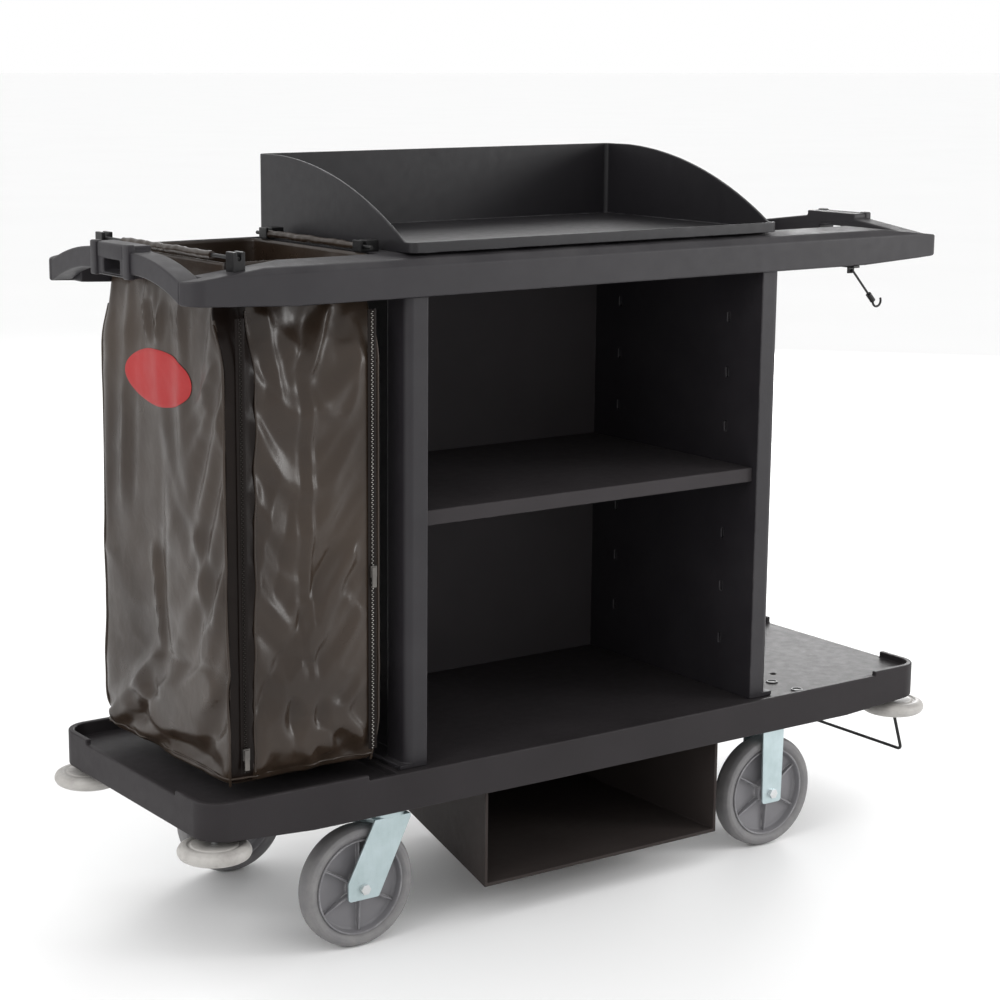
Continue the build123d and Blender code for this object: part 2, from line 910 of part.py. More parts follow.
with BuildPart() as foot_bolts:
    for foot_x in foot_bolt_lines:
        for foot_y in foot_bolt_places:
            low = plate_low - foot_nut_height - foot_bolt_tail
            upright(foot_x, foot_y, low, foot_top, foot_bolt_radius)
            head_top = foot_top + foot_bolt_head_height
            hex_upright(foot_x, foot_y, foot_top, head_top, foot_bolt_head)
write_part(foot_bolts, "foot_bolts")

with BuildPart() as foot_nuts:
    for foot_x in foot_bolt_lines:
        for foot_y in foot_bolt_places:
            hex_upright(foot_x, foot_y, plate_low - foot_nut_height, plate_low, foot_bolt_head)
            upright(
                foot_x,
                foot_y,
                plate_low - foot_nut_height,
                plate_low,
                foot_bolt_radius + running_gap,
                Mode.SUBTRACT,
            )
write_part(foot_nuts, "foot_nuts")


# Bag ----------------------------------------------------------------------------------------

neck_top = roof_top - fit_gap


def bag_layer(left, right, half, inset, low, high, mode):
    """A round-cornered slab of the bag between two heights."""
    with BuildSketch(Plane.XY.offset(low)) as profile:
        with Locations(((left + right) / 2, 0)):
            RectangleRounded(right - left - 2 * inset, 2 * half - 2 * inset, bag_corner - inset)
    extrude(profile.sketch, amount=high - low, mode=mode)


with BuildPart() as bag:
    bag_layer(bag_left, bag_right, bag_half_width, 0, bag_bottom, bag_shoulder, Mode.ADD)
    bag_layer(neck_left, neck_right, neck_half, 0, bag_shoulder - bag_wall, neck_top, Mode.ADD)
    bag_layer(
        bag_left,
        bag_right,
        bag_half_width,
        bag_wall,
        bag_bottom + bag_wall,
        bag_shoulder - bag_wall,
        Mode.SUBTRACT,
    )
    bag_layer(
        neck_left,
        bag_right,
        neck_half,
        bag_wall,
        bag_shoulder - 2 * bag_wall,
        bag_shoulder,
        Mode.SUBTRACT,
    )
    high = neck_top + cut
    bag_layer(neck_left, neck_right, neck_half, bag_wall, bag_shoulder, high, Mode.SUBTRACT)
write_part(bag, "bag")

outer_rod_x = neck_left + bag_wall / 2
inner_rod_x = neck_right - bag_wall / 2
for rod_name, rod_x, rod_half in (
    ("outer_bag_rod", outer_rod_x, half_width - outer_rod_inset),
    ("inner_bag_rod", inner_rod_x, rail_inner_y - inner_rod_inset),
):
    with BuildPart() as bag_rod:
        across(rod_x, -rod_half, rod_half, rod_height, rod_radius)
    write_part(bag_rod, rod_name)


def cut_clip_slot(rod_x):
    """The open slot that a bag rod drops into."""
    reach = rod_radius + clip_slot_gap
    across(rod_x, -half_width, half_width, rod_height, reach, Mode.SUBTRACT)
    block(
        (rod_x - reach, -half_width, rod_height),
        (rod_x + reach, half_width, rod_height + clip_top + cut),
        Mode.SUBTRACT,
    )


rail_clip_y = rail_inner_y + rail_width / 2
with BuildPart() as rail_clips:
    taper_share = (abs(outer_rod_x) - (half_frame - rail_taper)) / rail_taper
    rail_level = roof_top - rail_end_drop * taper_share
    for side in (-1, 1):
        block(
            (
                outer_rod_x - clip_length / 2,
                side * rail_clip_y - clip_width / 2,
                rail_level - clip_bury,
            ),
            (
                outer_rod_x + clip_length / 2,
                side * rail_clip_y + clip_width / 2,
                rod_height + clip_top,
            ),
        )
    cut_clip_slot(outer_rod_x)
write_part(rail_clips, "rail_clips")

with BuildPart() as wall_clips:
    clip_start = inner_rod_x - rod_radius - wall_clip_lead
    wall_clip_place = rail_inner_y - wall_clip_inset
    for side in (-1, 1):
        block(
            (clip_start, side * wall_clip_place - clip_width / 2, roof_top),
            (
                clip_start + wall_clip_reach,
                side * wall_clip_place + clip_width / 2,
                rod_height + clip_top,
            ),
        )
    cut_clip_slot(inner_rod_x)
write_part(wall_clips, "wall_clips")

zip_face = -bag_half_width
with BuildPart() as zip_tapes:
    for zip_x in (front_zip_x, corner_zip_x):
        block(
            (zip_x - zip_width / 2, zip_face - zip_thick, zip_bottom),
            (zip_x + zip_width / 2, zip_face, zip_top),
        )
write_part(zip_tapes, "zip_tapes")

slider_back = zip_face - zip_thick - fit_gap
for zip_name, zip_x, slider_z in (
    ("front_zip", front_zip_x, zip_bottom + front_slider_height),
    ("corner_zip", corner_zip_x, zip_bottom + corner_slider_height),
):
    with BuildPart() as slider:
        block(
            (zip_x - slider_width / 2, slider_back - slider_thick, slider_z),
            (zip_x + slider_width / 2, slider_back, slider_z + slider_height),
        )
    write_part(slider, f"{zip_name}_slider")
    with BuildPart() as pull:
        block(
            (
                zip_x - pull_width / 2,
                slider_back - slider_thick - pull_thick,
                slider_z + slider_height - pull_length,
            ),
            (
                zip_x + pull_width / 2,
                slider_back - slider_thick,
                slider_z + slider_height - pull_seat,
            ),
        )
    write_part(pull, f"{zip_name}_pull")


# Casters ------------------------------------------------------------------------------------


def fork_legs(axle_x, middle_y, top, top_x, top_width, end_width):
    """Two plates that run from the crown to a square end just below the axle."""
    for side in (-1, 1):
        near = middle_y + side * fork_gap
        far = middle_y + side * (fork_gap + fork_thick)
        with BuildSketch(Plane.XZ.offset(-max(near, far))) as profile:
            with Locations((top_x, top - crown_thick / 2)):
                Rectangle(top_width, crown_thick)
            with Locations((axle_x, hub_z)):
                RectangleRounded(end_width, fork_end_height, fork_end_round)
            make_hull()
            with Locations((axle_x, hub_z)):
                Circle(axle_radius + running_gap, mode=Mode.SUBTRACT)
        extrude(profile.sketch, amount=fork_thick)


def drill_plate(place_x, place_y):
    """The four bolt holes of a caster's top plate."""
    for hole_place in GridLocations(2 * bolt_x, 2 * bolt_y, 2, 2):
        upright(
            place_x + hole_place.position.X,
            place_y + hole_place.position.Y,
            plate_under,
            caster_top,
            bolt_radius + bolt_clearance,
            Mode.SUBTRACT,
        )


def caster_plate(place_x, place_y):
    """A caster's top plate, before its bolt holes."""
    block(
        (place_x - caster_plate_x / 2, place_y - caster_plate_y / 2, plate_under),
        (place_x + caster_plate_x / 2, place_y + caster_plate_y / 2, caster_top),
    )


with BuildPart() as swivel_plates:
    for place_x, place_y in swivel_places.values():
        caster_plate(place_x, place_y)
        upright(place_x, place_y, cup_low, plate_under, cup_radius)
        drill_plate(place_x, place_y)
        pin_hole = kingpin_radius + running_gap
        upright(place_x, place_y, cup_low, caster_top, pin_hole, Mode.SUBTRACT)
write_part(swivel_plates, "swivel_plates")

with BuildPart() as swivel_bearings:
    for place_x, place_y in swivel_places.values():
        upright(place_x, place_y, crown_top + fit_gap, cup_low, race_outer)
        upright(place_x, place_y, crown_top + fit_gap, cup_low, race_inner, Mode.SUBTRACT)
write_part(swivel_bearings, "swivel_bearings")

with BuildPart() as kingpins:
    for place_x, place_y in swivel_places.values():
        head_top = crown_low - fit_gap
        upright(place_x, place_y, head_top, caster_top, kingpin_radius)
        hex_upright(place_x, place_y, head_top - kingpin_head_height, head_top, kingpin_head)
write_part(kingpins, "kingpins")

with BuildPart() as caster_bolts:
    for place_x, place_y in caster_places.values():
        for bolt_place in GridLocations(2 * bolt_x, 2 * bolt_y, 2, 2):
            x = place_x + bolt_place.position.X
            y = place_y + bolt_place.position.Y
            upright(x, y, plate_under, caster_top + bolt_depth, bolt_radius)
            hex_upright(x, y, plate_under - bolt_head_height, plate_under, bolt_head)
write_part(caster_bolts, "caster_bolts")


def axle_bolt(axle_x, middle_y):
    """The wheel's axle bolt, its head on the fork's front side."""
    outside = fork_gap + fork_thick
    tail = middle_y + outside + nut_height + axle_tail
    across(axle_x, middle_y - outside, tail, hub_z, axle_radius)
    hex_across(axle_x, middle_y - outside - nut_height, middle_y - outside, hub_z, nut_radius)


def axle_nut(axle_x, middle_y):
    """The nut on the fork's rear side, a solid of its own around the bolt."""
    outside = middle_y + fork_gap + fork_thick
    with BuildSketch(Plane.XZ.offset(-outside - nut_height)) as profile:
        with Locations((axle_x, hub_z)):
            RegularPolygon(nut_radius, 6)
            Circle(axle_radius + running_gap, mode=Mode.SUBTRACT)
    extrude(profile.sketch, amount=nut_height)


for corner, (place_x, place_y) in swivel_places.items():
    axle_x = place_x - caster_lead
    with BuildPart() as swivel_fork:
        block(
            (place_x - fork_top_width / 2, place_y - fork_gap - fork_thick, crown_low),
            (place_x + fork_top_width / 2, place_y + fork_gap + fork_thick, crown_top),
        )
        fork_legs(axle_x, place_y, crown_top, place_x, fork_top_width, swivel_end_width)
        pin_hole = kingpin_radius + running_gap
        upright(place_x, place_y, crown_low, crown_top, pin_hole, Mode.SUBTRACT)
    write_part(swivel_fork, f"{corner}_fork")
    with BuildPart() as swivel_axle:
        axle_bolt(axle_x, place_y)
        axle_nut(axle_x, place_y)
    write_part(swivel_axle, f"{corner}_axle")

with BuildPart() as rigid_forks:
    for place_x, place_y in rigid_places.values():
        caster_plate(place_x, place_y)
        drill_plate(place_x, place_y)
        fork_legs(place_x, place_y, plate_under, place_x, fork_leg_width, rigid_end_width)
write_part(rigid_forks, "rigid_forks")

with BuildPart() as rigid_axles:
    for place_x, place_y in rigid_places.values():
        axle_bolt(place_x, place_y)
        axle_nut(place_x, place_y)
write_part(rigid_axles, "rigid_axles")

wheel_places = {corner: (x - caster_lead, y) for corner, (x, y) in swivel_places.items()}
wheel_places.update(rigid_places)
for corner, (wheel_x, wheel_y) in wheel_places.items():
    with BuildPart() as tyre:
        half = tyre_width / 2
        across(wheel_x, wheel_y - half, wheel_y + half, hub_z, wheel_radius)
        fillet(tyre.edges().filter_by(GeomType.CIRCLE), tyre_round)
        across(wheel_x, wheel_y - half, wheel_y + half, hub_z, tyre_inner, Mode.SUBTRACT)
    write_part(tyre, f"{corner}_tyre")
    with BuildPart() as wheel:
        half = rim_width_y / 2
        across(wheel_x, wheel_y - half, wheel_y + half, hub_z, tyre_inner)
        across(wheel_x, wheel_y - half, wheel_y + half, hub_z, rim_inner, Mode.SUBTRACT)
        half = wheel_web / 2
        across(wheel_x, wheel_y - half, wheel_y + half, hub_z, rim_inner + spoke_bury)
        half = hub_width / 2
        across(wheel_x, wheel_y - half, wheel_y + half, hub_z, hub_radius)
        with BuildSketch(Plane.XZ.offset(-wheel_y - spoke_thick / 2)):
            with Locations((wheel_x, hub_z)):
                with PolarLocations(0, spoke_count, start_angle=90):
                    with Locations(((hub_radius + rim_inner) / 2, 0)):
                        Rectangle(rim_inner - hub_radius + 2 * spoke_bury, spoke_width)
        extrude(amount=spoke_thick)
        across(wheel_x, wheel_y - half, wheel_y + half, hub_z, bush_radius, Mode.SUBTRACT)
    write_part(wheel, f"{corner}_wheel")
    with BuildPart() as bush:
        half = bush_half
        across(wheel_x, wheel_y - half, wheel_y + half, hub_z, bush_radius)
        bore = axle_radius + running_gap
        across(wheel_x, wheel_y - half, wheel_y + half, hub_z, bore, Mode.SUBTRACT)
    write_part(bush, f"{corner}_bush")


# Corner bumpers -----------------------------------------------------------------------------

bumper_places = {
    "front_left": (-bumper_x, -bumper_y),
    "rear_left": (-bumper_x, bumper_y),
    "front_right": (bumper_x, -bumper_y),
    "rear_right": (bumper_x, bumper_y),
}
for corner, (x, y) in bumper_places.items():
    with BuildPart() as bumper:
        upright(x, y, bumper_low, bumper_high - fit_gap, bumper_radius)
        fillet(bumper.edges().filter_by(GeomType.CIRCLE), bumper_round)
        recess_top = bumper_low + bumper_recess_depth
        upright(x, y, bumper_low, recess_top, bumper_recess, Mode.SUBTRACT)
        upright(x, y, bumper_low, bumper_high, bumper_pin_radius + running_gap, Mode.SUBTRACT)
    write_part(bumper, f"{corner}_bumper")

with BuildPart() as bumper_pins:
    for x, y in bumper_places.values():
        head_top = bumper_low + bumper_recess_depth - fit_gap
        upright(x, y, head_top, tray_low - bumper_pin_top_gap, bumper_pin_radius)
        upright(x, y, head_top - bumper_pin_head_height, head_top, bumper_pin_head)
write_part(bumper_pins, "bumper_pins")


# Wire hoop ----------------------------------------------------------------------------------

with BuildPart() as wire_hoop:
    stub_end = hoop_half_width - hoop_stub - bracket_width
    low_x = hoop_x + hoop_reach
    low_z = hoop_z - hoop_drop
    with BuildLine() as hoop_path:
        FilletPolyline(
            (hoop_x, -stub_end, hoop_z),
            (hoop_x, -hoop_half_width, hoop_z),
            (low_x, -hoop_half_width, low_z),
            (low_x, hoop_half_width, low_z),
            (hoop_x, hoop_half_width, hoop_z),
            (hoop_x, stub_end, hoop_z),
            radius=hoop_bend,
        )
    with BuildSketch(Plane(origin=hoop_path.line @ 0, z_dir=hoop_path.line % 0)):
        Circle(hoop_wire)
    sweep(path=hoop_path.line)
write_part(wire_hoop, "wire_hoop")

with BuildPart() as hoop_brackets:
    for side in (-1, 1):
        near = side * bracket_y - bracket_width / 2
        far = side * bracket_y + bracket_width / 2
        web_low = (hoop_x - bracket_thick, near, hoop_z - bracket_lip)
        block(web_low, (hoop_x + bracket_thick, far, plate_low))
        block(
            (hoop_x - bracket_foot, near, plate_low - bracket_thick),
            (hoop_x + bracket_thick, far, plate_low),
        )
        across(hoop_x, near, far, hoop_z, hoop_wire + running_gap, Mode.SUBTRACT)
write_part(hoop_brackets, "hoop_brackets")


# Hanging hook -------------------------------------------------------------------------------

pivot_z = frame_bottom - hook_drop
with BuildPart() as hook_bracket:
    block(
        (hook_x - ear_width / 2, -half_width, frame_bottom - ear_thick),
        (hook_x + ear_width / 2, -rail_inner_y, frame_bottom),
    )
    block(
        (hook_x - ear_width / 2, hook_y, pivot_z - ear_lip),
        (hook_x + ear_width / 2, hook_y + ear_thick, frame_bottom - ear_thick),
    )
    across(hook_x, hook_y, hook_y + ear_thick, pivot_z, hook_wire + running_gap, Mode.SUBTRACT)
write_part(hook_bracket, "hook_bracket")

stem_y = hook_y - hook_wire - hook_side_gap
stem_end = (hook_x + hook_run, stem_y, pivot_z - hook_fall)
with BuildPart() as hanging_hook:
    across(hook_x, stem_y, hook_y + ear_thick + hook_tail, pivot_z, hook_wire)
    wire_run((hook_x, stem_y, pivot_z), stem_end, hook_wire)
    with BuildLine() as bow:
        ThreePointArc(
            stem_end,
            *((stem_end[0] + run, stem_y, stem_end[2] + rise) for run, rise in bow_points),
        )
    with BuildSketch(Plane(origin=bow.line @ 0, z_dir=bow.line % 0)):
        Circle(hook_wire)
    sweep(path=bow.line)
    with Locations(stem_end):
        Sphere(hook_wire)
write_part(hanging_hook, "hanging_hook")

bead_start = (
    hook_x + hook_run * (1 - hook_bead_share),
    stem_y,
    pivot_z - hook_fall * (1 - hook_bead_share),
)
with BuildPart() as hook_bead:
    bead_run = Vector(*stem_end) - Vector(*bead_start)
    with BuildSketch(Plane(origin=bead_start, z_dir=bead_run)):
        Circle(hook_bead_radius)
        Circle(hook_wire + running_gap, mode=Mode.SUBTRACT)
    extrude(amount=bead_run.length)
write_part(hook_bead, "hook_bead")
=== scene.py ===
import json
import math

import bmesh
import bpy
from mathutils import Matrix, Vector, noise
from mathutils.bvhtree import BVHTree


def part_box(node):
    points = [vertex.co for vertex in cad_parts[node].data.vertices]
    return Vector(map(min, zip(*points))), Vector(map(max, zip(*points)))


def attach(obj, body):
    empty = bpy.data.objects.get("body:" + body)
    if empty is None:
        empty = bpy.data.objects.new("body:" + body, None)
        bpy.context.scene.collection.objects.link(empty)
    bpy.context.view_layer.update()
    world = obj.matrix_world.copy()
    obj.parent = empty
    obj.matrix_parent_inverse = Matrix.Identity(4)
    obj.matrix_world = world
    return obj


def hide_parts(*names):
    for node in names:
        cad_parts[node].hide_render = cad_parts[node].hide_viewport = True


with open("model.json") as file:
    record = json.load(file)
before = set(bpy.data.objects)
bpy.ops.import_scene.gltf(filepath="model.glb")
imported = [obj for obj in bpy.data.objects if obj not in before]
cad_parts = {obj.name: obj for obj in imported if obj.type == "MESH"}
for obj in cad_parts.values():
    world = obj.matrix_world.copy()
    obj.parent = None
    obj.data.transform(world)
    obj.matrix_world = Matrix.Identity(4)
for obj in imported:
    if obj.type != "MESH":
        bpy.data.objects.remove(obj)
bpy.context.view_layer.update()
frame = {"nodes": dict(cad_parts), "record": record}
nodes = frame["nodes"]
CORNERS = ("front_left", "rear_left", "front_right", "rear_right")


# Camera, floor and light --------------------------------------------------------------------


def place_camera():
    """A long lens at standing height, in front of the cart and to its left."""
    camera = bpy.data.objects.new("camera", bpy.data.cameras.new("camera"))
    bpy.context.collection.objects.link(camera)
    camera.location = (-2.3319, -3.1687, 1.4322)
    camera.rotation_euler = (math.radians(90 - 11.77), 0, math.radians(-33.29))
    camera.data.sensor_width = 36
    camera.data.lens = 82.81
    camera.data.shift_x = 0.107
    camera.data.shift_y = 0.019
    camera.data.clip_end = 100
    bpy.context.scene.camera = camera


def add_area_light(name, place, aim, size, power, colour=(1, 1, 1)):
    light = bpy.data.lights.new(name, "AREA")
    light.shape = "SQUARE"
    light.size = size
    light.energy = power
    light.color = colour
    lamp = bpy.data.objects.new(name, light)
    bpy.context.collection.objects.link(lamp)
    lamp.location = place
    lamp.rotation_euler = (Vector(aim) - Vector(place)).to_track_quat("-Z", "Y").to_euler()


def set_studio():
    """A plain pale floor under an even sky, with four large soft lamps."""
    scene = bpy.context.scene
    scene.view_settings.view_transform = "Standard"
    world = bpy.data.worlds.new("studio")
    scene.world = world
    world.use_nodes = True
    backdrop = world.node_tree.nodes["Background"]
    backdrop.inputs["Color"].default_value = (1.0, 1.0, 1.0, 1)
    backdrop.inputs["Strength"].default_value = 1.0
    bpy.ops.mesh.primitive_plane_add(size=400, location=(0, 0, 0))
    floor = bpy.context.object
    floor.name = "floor"
    floor.data.materials.append(plain_floor())
    add_area_light("key_lamp", (-3.9, -0.9, 2.5), (0, 0, 0.7), 2.4, 50)
    add_area_light("front_lamp", (3.0, -2.6, 1.5), (0.9, -0.2, 1.0), 1.2, 46)
    add_area_light("back_lamp", (2.4, 3.2, 3.0), (0, 0, 0.8), 2.6, 34)
    add_area_light("low_lamp", (5.2, 4.4, 1.5), (0.5, 0, 0.4), 2.4, 150)


# Materials ----------------------------------------------------------------------------------


class Tree:
    """A short way to add and join nodes in one node tree."""

    def __init__(self, tree):
        self.tree = tree

    def add(self, kind, **settings):
        made = self.tree.nodes.new(kind)
        for key, value in settings.items():
            if key in made.bl_rna.properties:
                setattr(made, key, value)
            else:
                made.inputs[key.replace("_", " ")].default_value = value
        return made

    def join(self, start, end):
        self.tree.links.new(start, end)

    def noise(self, coordinates, scale, detail=3.0, roughness=0.5, stretch=None):
        """A noise texture, on coordinates that may be stretched first."""
        source = coordinates
        if stretch:
            mapping = self.add("ShaderNodeMapping")
            mapping.inputs["Scale"].default_value = stretch
            self.join(coordinates, mapping.inputs["Vector"])
            source = mapping.outputs["Vector"]
        texture = self.add("ShaderNodeTexNoise", Scale=scale, Detail=detail, Roughness=roughness)
        self.join(source, texture.inputs["Vector"])
        return texture.outputs["Fac"]

    def ramp(self, value, low, high, from_value=0.0, to_value=1.0):
        """Value from low to high becomes from_value to to_value, held at both ends."""
        change = self.add("ShaderNodeMapRange")
        change.inputs["From Min"].default_value = low
        change.inputs["From Max"].default_value = high
        change.inputs["To Min"].default_value = from_value
        change.inputs["To Max"].default_value = to_value
        self.join(value, change.inputs["Value"])
        return change.outputs["Result"]

    def math(self, operation, first, second):
        """One sum on two values, either of which may be a plain number."""
        sum_node = self.add("ShaderNodeMath", operation=operation)
        for socket, value in zip(sum_node.inputs, (first, second)):
            if isinstance(value, (int, float)):
                socket.default_value = value
            else:
                self.join(value, socket)
        return sum_node.outputs["Value"]

    def mix(self, factor, first, second):
        """Two colours mixed by a mask. A colour may be a socket or three numbers."""
        blend = self.add("ShaderNodeMix", data_type="RGBA")
        for socket, value in ((blend.inputs[6], first), (blend.inputs[7], second)):
            if isinstance(value, (tuple, list)):
                socket.default_value = (*value, 1)
            else:
                self.join(value, socket)
        if isinstance(factor, (int, float)):
            blend.inputs["Factor"].default_value = factor
        else:
            self.join(factor, blend.inputs["Factor"])
        return blend.outputs[2]


def new_group(name, inputs, outputs):
    """An empty shader node group with the named value sockets."""
    group = bpy.data.node_groups.new(name, "ShaderNodeTree")
    for label, kind in inputs:
        group.interface.new_socket(label, in_out="INPUT", socket_type=kind)
    for label, kind in outputs:
        group.interface.new_socket(label, in_out="OUTPUT", socket_type=kind)
    return group, group.nodes.new("NodeGroupInput"), group.nodes.new("NodeGroupOutput")


def make_grain_group():
    """Moulded grain: small even pits, with slow waves of the mould under them."""
    group, given, result = new_group(
        "moulded_grain",
        (("Coordinates", "NodeSocketVector"), ("Scale", "NodeSocketFloat")),
        (("Height", "NodeSocketFloat"), ("Patches", "NodeSocketFloat")),
    )
    tree = Tree(group)
    scaled = tree.add("ShaderNodeVectorMath", operation="SCALE")
    tree.join(given.outputs["Coordinates"], scaled.inputs[0])
    tree.join(given.outputs["Scale"], scaled.inputs["Scale"])
    pits = tree.add("ShaderNodeTexVoronoi", Scale=1.0)
    tree.join(scaled.outputs[0], pits.inputs["Vector"])
    fine = tree.noise(scaled.outputs[0], 0.6, 2.0)
    tree.join(tree.math("ADD", pits.outputs["Distance"], fine), result.inputs["Height"])
    tree.join(tree.noise(given.outputs["Coordinates"], 7.0, 4.0), result.inputs["Patches"])
    return group


def make_wear_group():
    """Edge wear: outside edges, broken up so that only the most rubbed stretches show."""
    group, given, result = new_group(
        "edge_wear",
        (("Coordinates", "NodeSocketVector"), ("Radius", "NodeSocketFloat")),
        (("Mask", "NodeSocketFloat"),),
    )
    tree = Tree(group)
    bevel = tree.add("ShaderNodeBevel", samples=4)
    tree.join(given.outputs["Radius"], bevel.inputs["Radius"])
    geometry = tree.add("ShaderNodeNewGeometry")
    dot = tree.add("ShaderNodeVectorMath", operation="DOT_PRODUCT")
    tree.join(bevel.outputs["Normal"], dot.inputs[0])
    tree.join(geometry.outputs["True Normal"], dot.inputs[1])
    edge = tree.ramp(dot.outputs["Value"], 0.985, 0.88)
    broken = tree.ramp(tree.noise(given.outputs["Coordinates"], 34.0, 5.0), 0.46, 0.66)
    tree.join(tree.math("MULTIPLY", edge, broken), result.inputs["Mask"])
    return group


def make_dust_and_top_sheen_group():
    """Dust on faces that look up, thickest in soft patches, which is also a painted sheen that
    makes up-facing faces paler.
    """
    group, given, result = new_group(
        "dust_and_painted_top_sheen",
        (("Coordinates", "NodeSocketVector"), ("Amount", "NodeSocketFloat")),
        (("Mask", "NodeSocketFloat"),),
    )
    tree = Tree(group)
    geometry = tree.add("ShaderNodeNewGeometry")
    parts = tree.add("ShaderNodeSeparateXYZ")
    tree.join(geometry.outputs["Normal"], parts.inputs[0])
    facing = tree.ramp(parts.outputs["Z"], 0.2, 1.0, 0.15, 1.0)
    patchy = tree.ramp(tree.noise(given.outputs["Coordinates"], 11.0, 6.0, 0.6), 0.38, 0.72)
    mask = tree.math("MULTIPLY", facing, patchy)
    tree.join(tree.math("MULTIPLY", mask, given.outputs["Amount"]), result.inputs["Mask"])
    return group


GRAIN = make_grain_group()
WEAR = make_wear_group()
DUST_AND_TOP_SHEEN = make_dust_and_top_sheen_group()


def place_group(tree, group, **values):
    made = tree.add("ShaderNodeGroup")
    made.node_tree = group
    for label, value in values.items():
        if isinstance(value, (int, float)):
            made.inputs[label].default_value = value
        else:
            tree.join(value, made.inputs[label])
    return made


def start_material(name):
    """A new material: its tree, its Principled shader and its Object coordinates."""
    material = bpy.data.materials.new(name)
    material.use_nodes = True
    tree = Tree(material.node_tree)
    shader = material.node_tree.nodes["Principled BSDF"]
    coordinates = tree.add("ShaderNodeTexCoord").outputs["Object"]
    return material, tree, shader, coordinates


def set_bump(tree, shader, height, strength, distance):
    bump = tree.add("ShaderNodeBump", Strength=strength, Distance=distance)
    tree.join(height, bump.inputs["Height"])
    tree.join(bump.outputs["Normal"], shader.inputs["Normal"])


def moulded_plastic(
    name, colour, worn, rough=0.5, grain=900.0, depth=0.25, dust_and_top_sheen=0.25, wear=0.5, shine=0.3
):
    """Grained polymer: patchy sheen, paler rubbed edges, and a little settled dust that is also a
    painted paler sheen on faces that look up.
    """
    material, tree, shader, coordinates = start_material(name)
    surface = place_group(tree, GRAIN, Coordinates=coordinates, Scale=grain)
    rubbed = place_group(tree, WEAR, Coordinates=coordinates, Radius=0.003)
    dust_and_sheen_mask = place_group(tree, DUST_AND_TOP_SHEEN, Coordinates=coordinates, Amount=dust_and_top_sheen)
    patches = tree.ramp(surface.outputs["Patches"], 0.3, 0.7)
    dark = tuple(0.84 * part for part in colour)
    base = tree.mix(patches, dark, colour)
    edge = tree.math("MULTIPLY", rubbed.outputs["Mask"], wear)
    base = tree.mix(edge, base, worn)
    # Settled dust and painted sheen: faces that look up are mixed towards pale grey.
    base = tree.mix(dust_and_sheen_mask.outputs["Mask"], base, (0.16, 0.155, 0.155))
    tree.join(base, shader.inputs["Base Color"])
    fine = tree.noise(coordinates, 55.0, 4.0, 0.6)
    gloss = tree.ramp(fine, 0.3, 0.7, rough - 0.03, rough + 0.05)
    tree.join(tree.math("ADD", gloss, dust_and_sheen_mask.outputs["Mask"]), shader.inputs["Roughness"])
    set_bump(tree, shader, surface.outputs["Height"], depth, 0.0004)
    shader.inputs["Specular IOR Level"].default_value = shine
    return material


def coated_cloth(name, colour, lit, weave=1500.0, rough=0.34, shine=0.32):
    """Coated cloth: a fine weave under a thin skin, with soft creases and a painted highlight, a
    paler colour along the noise crests.
    """
    material, tree, shader, coordinates = start_material(name)
    slow = tree.noise(coordinates, 4.0, 3.0, 0.5)
    base = tree.mix(tree.ramp(slow, 0.34, 0.66), colour, lit)
    crease = tree.noise(coordinates, 11.0, 3.0, 0.5)
    fold = tree.math("ABSOLUTE", tree.math("SUBTRACT", crease, 0.5), 0.0)
    crest = tree.ramp(fold, 0.0, 0.05, 1.0, 0.0)
    # Painted highlight: a paler colour mixed in along the crease crests, in place of light that
    # the creases catch.
    painted_crest_highlight = tuple(1.5 * part for part in lit)
    base = tree.mix(tree.math("MULTIPLY", crest, 0.05), base, painted_crest_highlight)
    tree.join(base, shader.inputs["Base Color"])
    threads = tree.add("ShaderNodeTexVoronoi", Scale=weave, distance="CHEBYCHEV")
    tree.join(coordinates, threads.inputs["Vector"])
    crumple = tree.noise(coordinates, 24.0, 3.0, 0.5)
    height = tree.math("ADD", tree.math("MULTIPLY", crest, 0.12), crumple)
    height = tree.math("ADD", height, tree.math("MULTIPLY", threads.outputs["Distance"], 0.05))
    sheen = tree.ramp(tree.noise(coordinates, 18.0, 3.0), 0.3, 0.7, rough - 0.08, rough + 0.08)
    tree.join(sheen, shader.inputs["Roughness"])
    set_bump(tree, shader, height, 0.30, 0.0030)
    shader.inputs["Specular IOR Level"].default_value = shine
    shader.inputs["Coat Weight"].default_value = 0.2 * shine
    shader.inputs["Coat Roughness"].default_value = 0.2
    return material


def plated_steel(name, colour, tint, rough=0.36, stretch=(1, 1, 1)):
    """Zinc plate: cloudy passivated colour, drawn scratches and dull spots."""
    material, tree, shader, coordinates = start_material(name)
    clouds = tree.noise(coordinates, 22.0, 5.0, 0.6)
    scratch = tree.noise(coordinates, 260.0, 3.0, 0.6, stretch=stretch)
    base = tree.mix(tree.ramp(clouds, 0.35, 0.65), colour, tint)
    dark = tree.ramp(tree.noise(coordinates, 90.0, 6.0, 0.7), 0.62, 0.75)
    base = tree.mix(tree.math("MULTIPLY", dark, 0.4), base, (0.22, 0.22, 0.21))
    tree.join(base, shader.inputs["Base Color"])
    tree.join(tree.ramp(scratch, 0.3, 0.7, rough - 0.08, rough + 0.12), shader.inputs["Roughness"])
    set_bump(tree, shader, scratch, 0.12, 0.0004)
    shader.inputs["Metallic"].default_value = 0.85
    return material


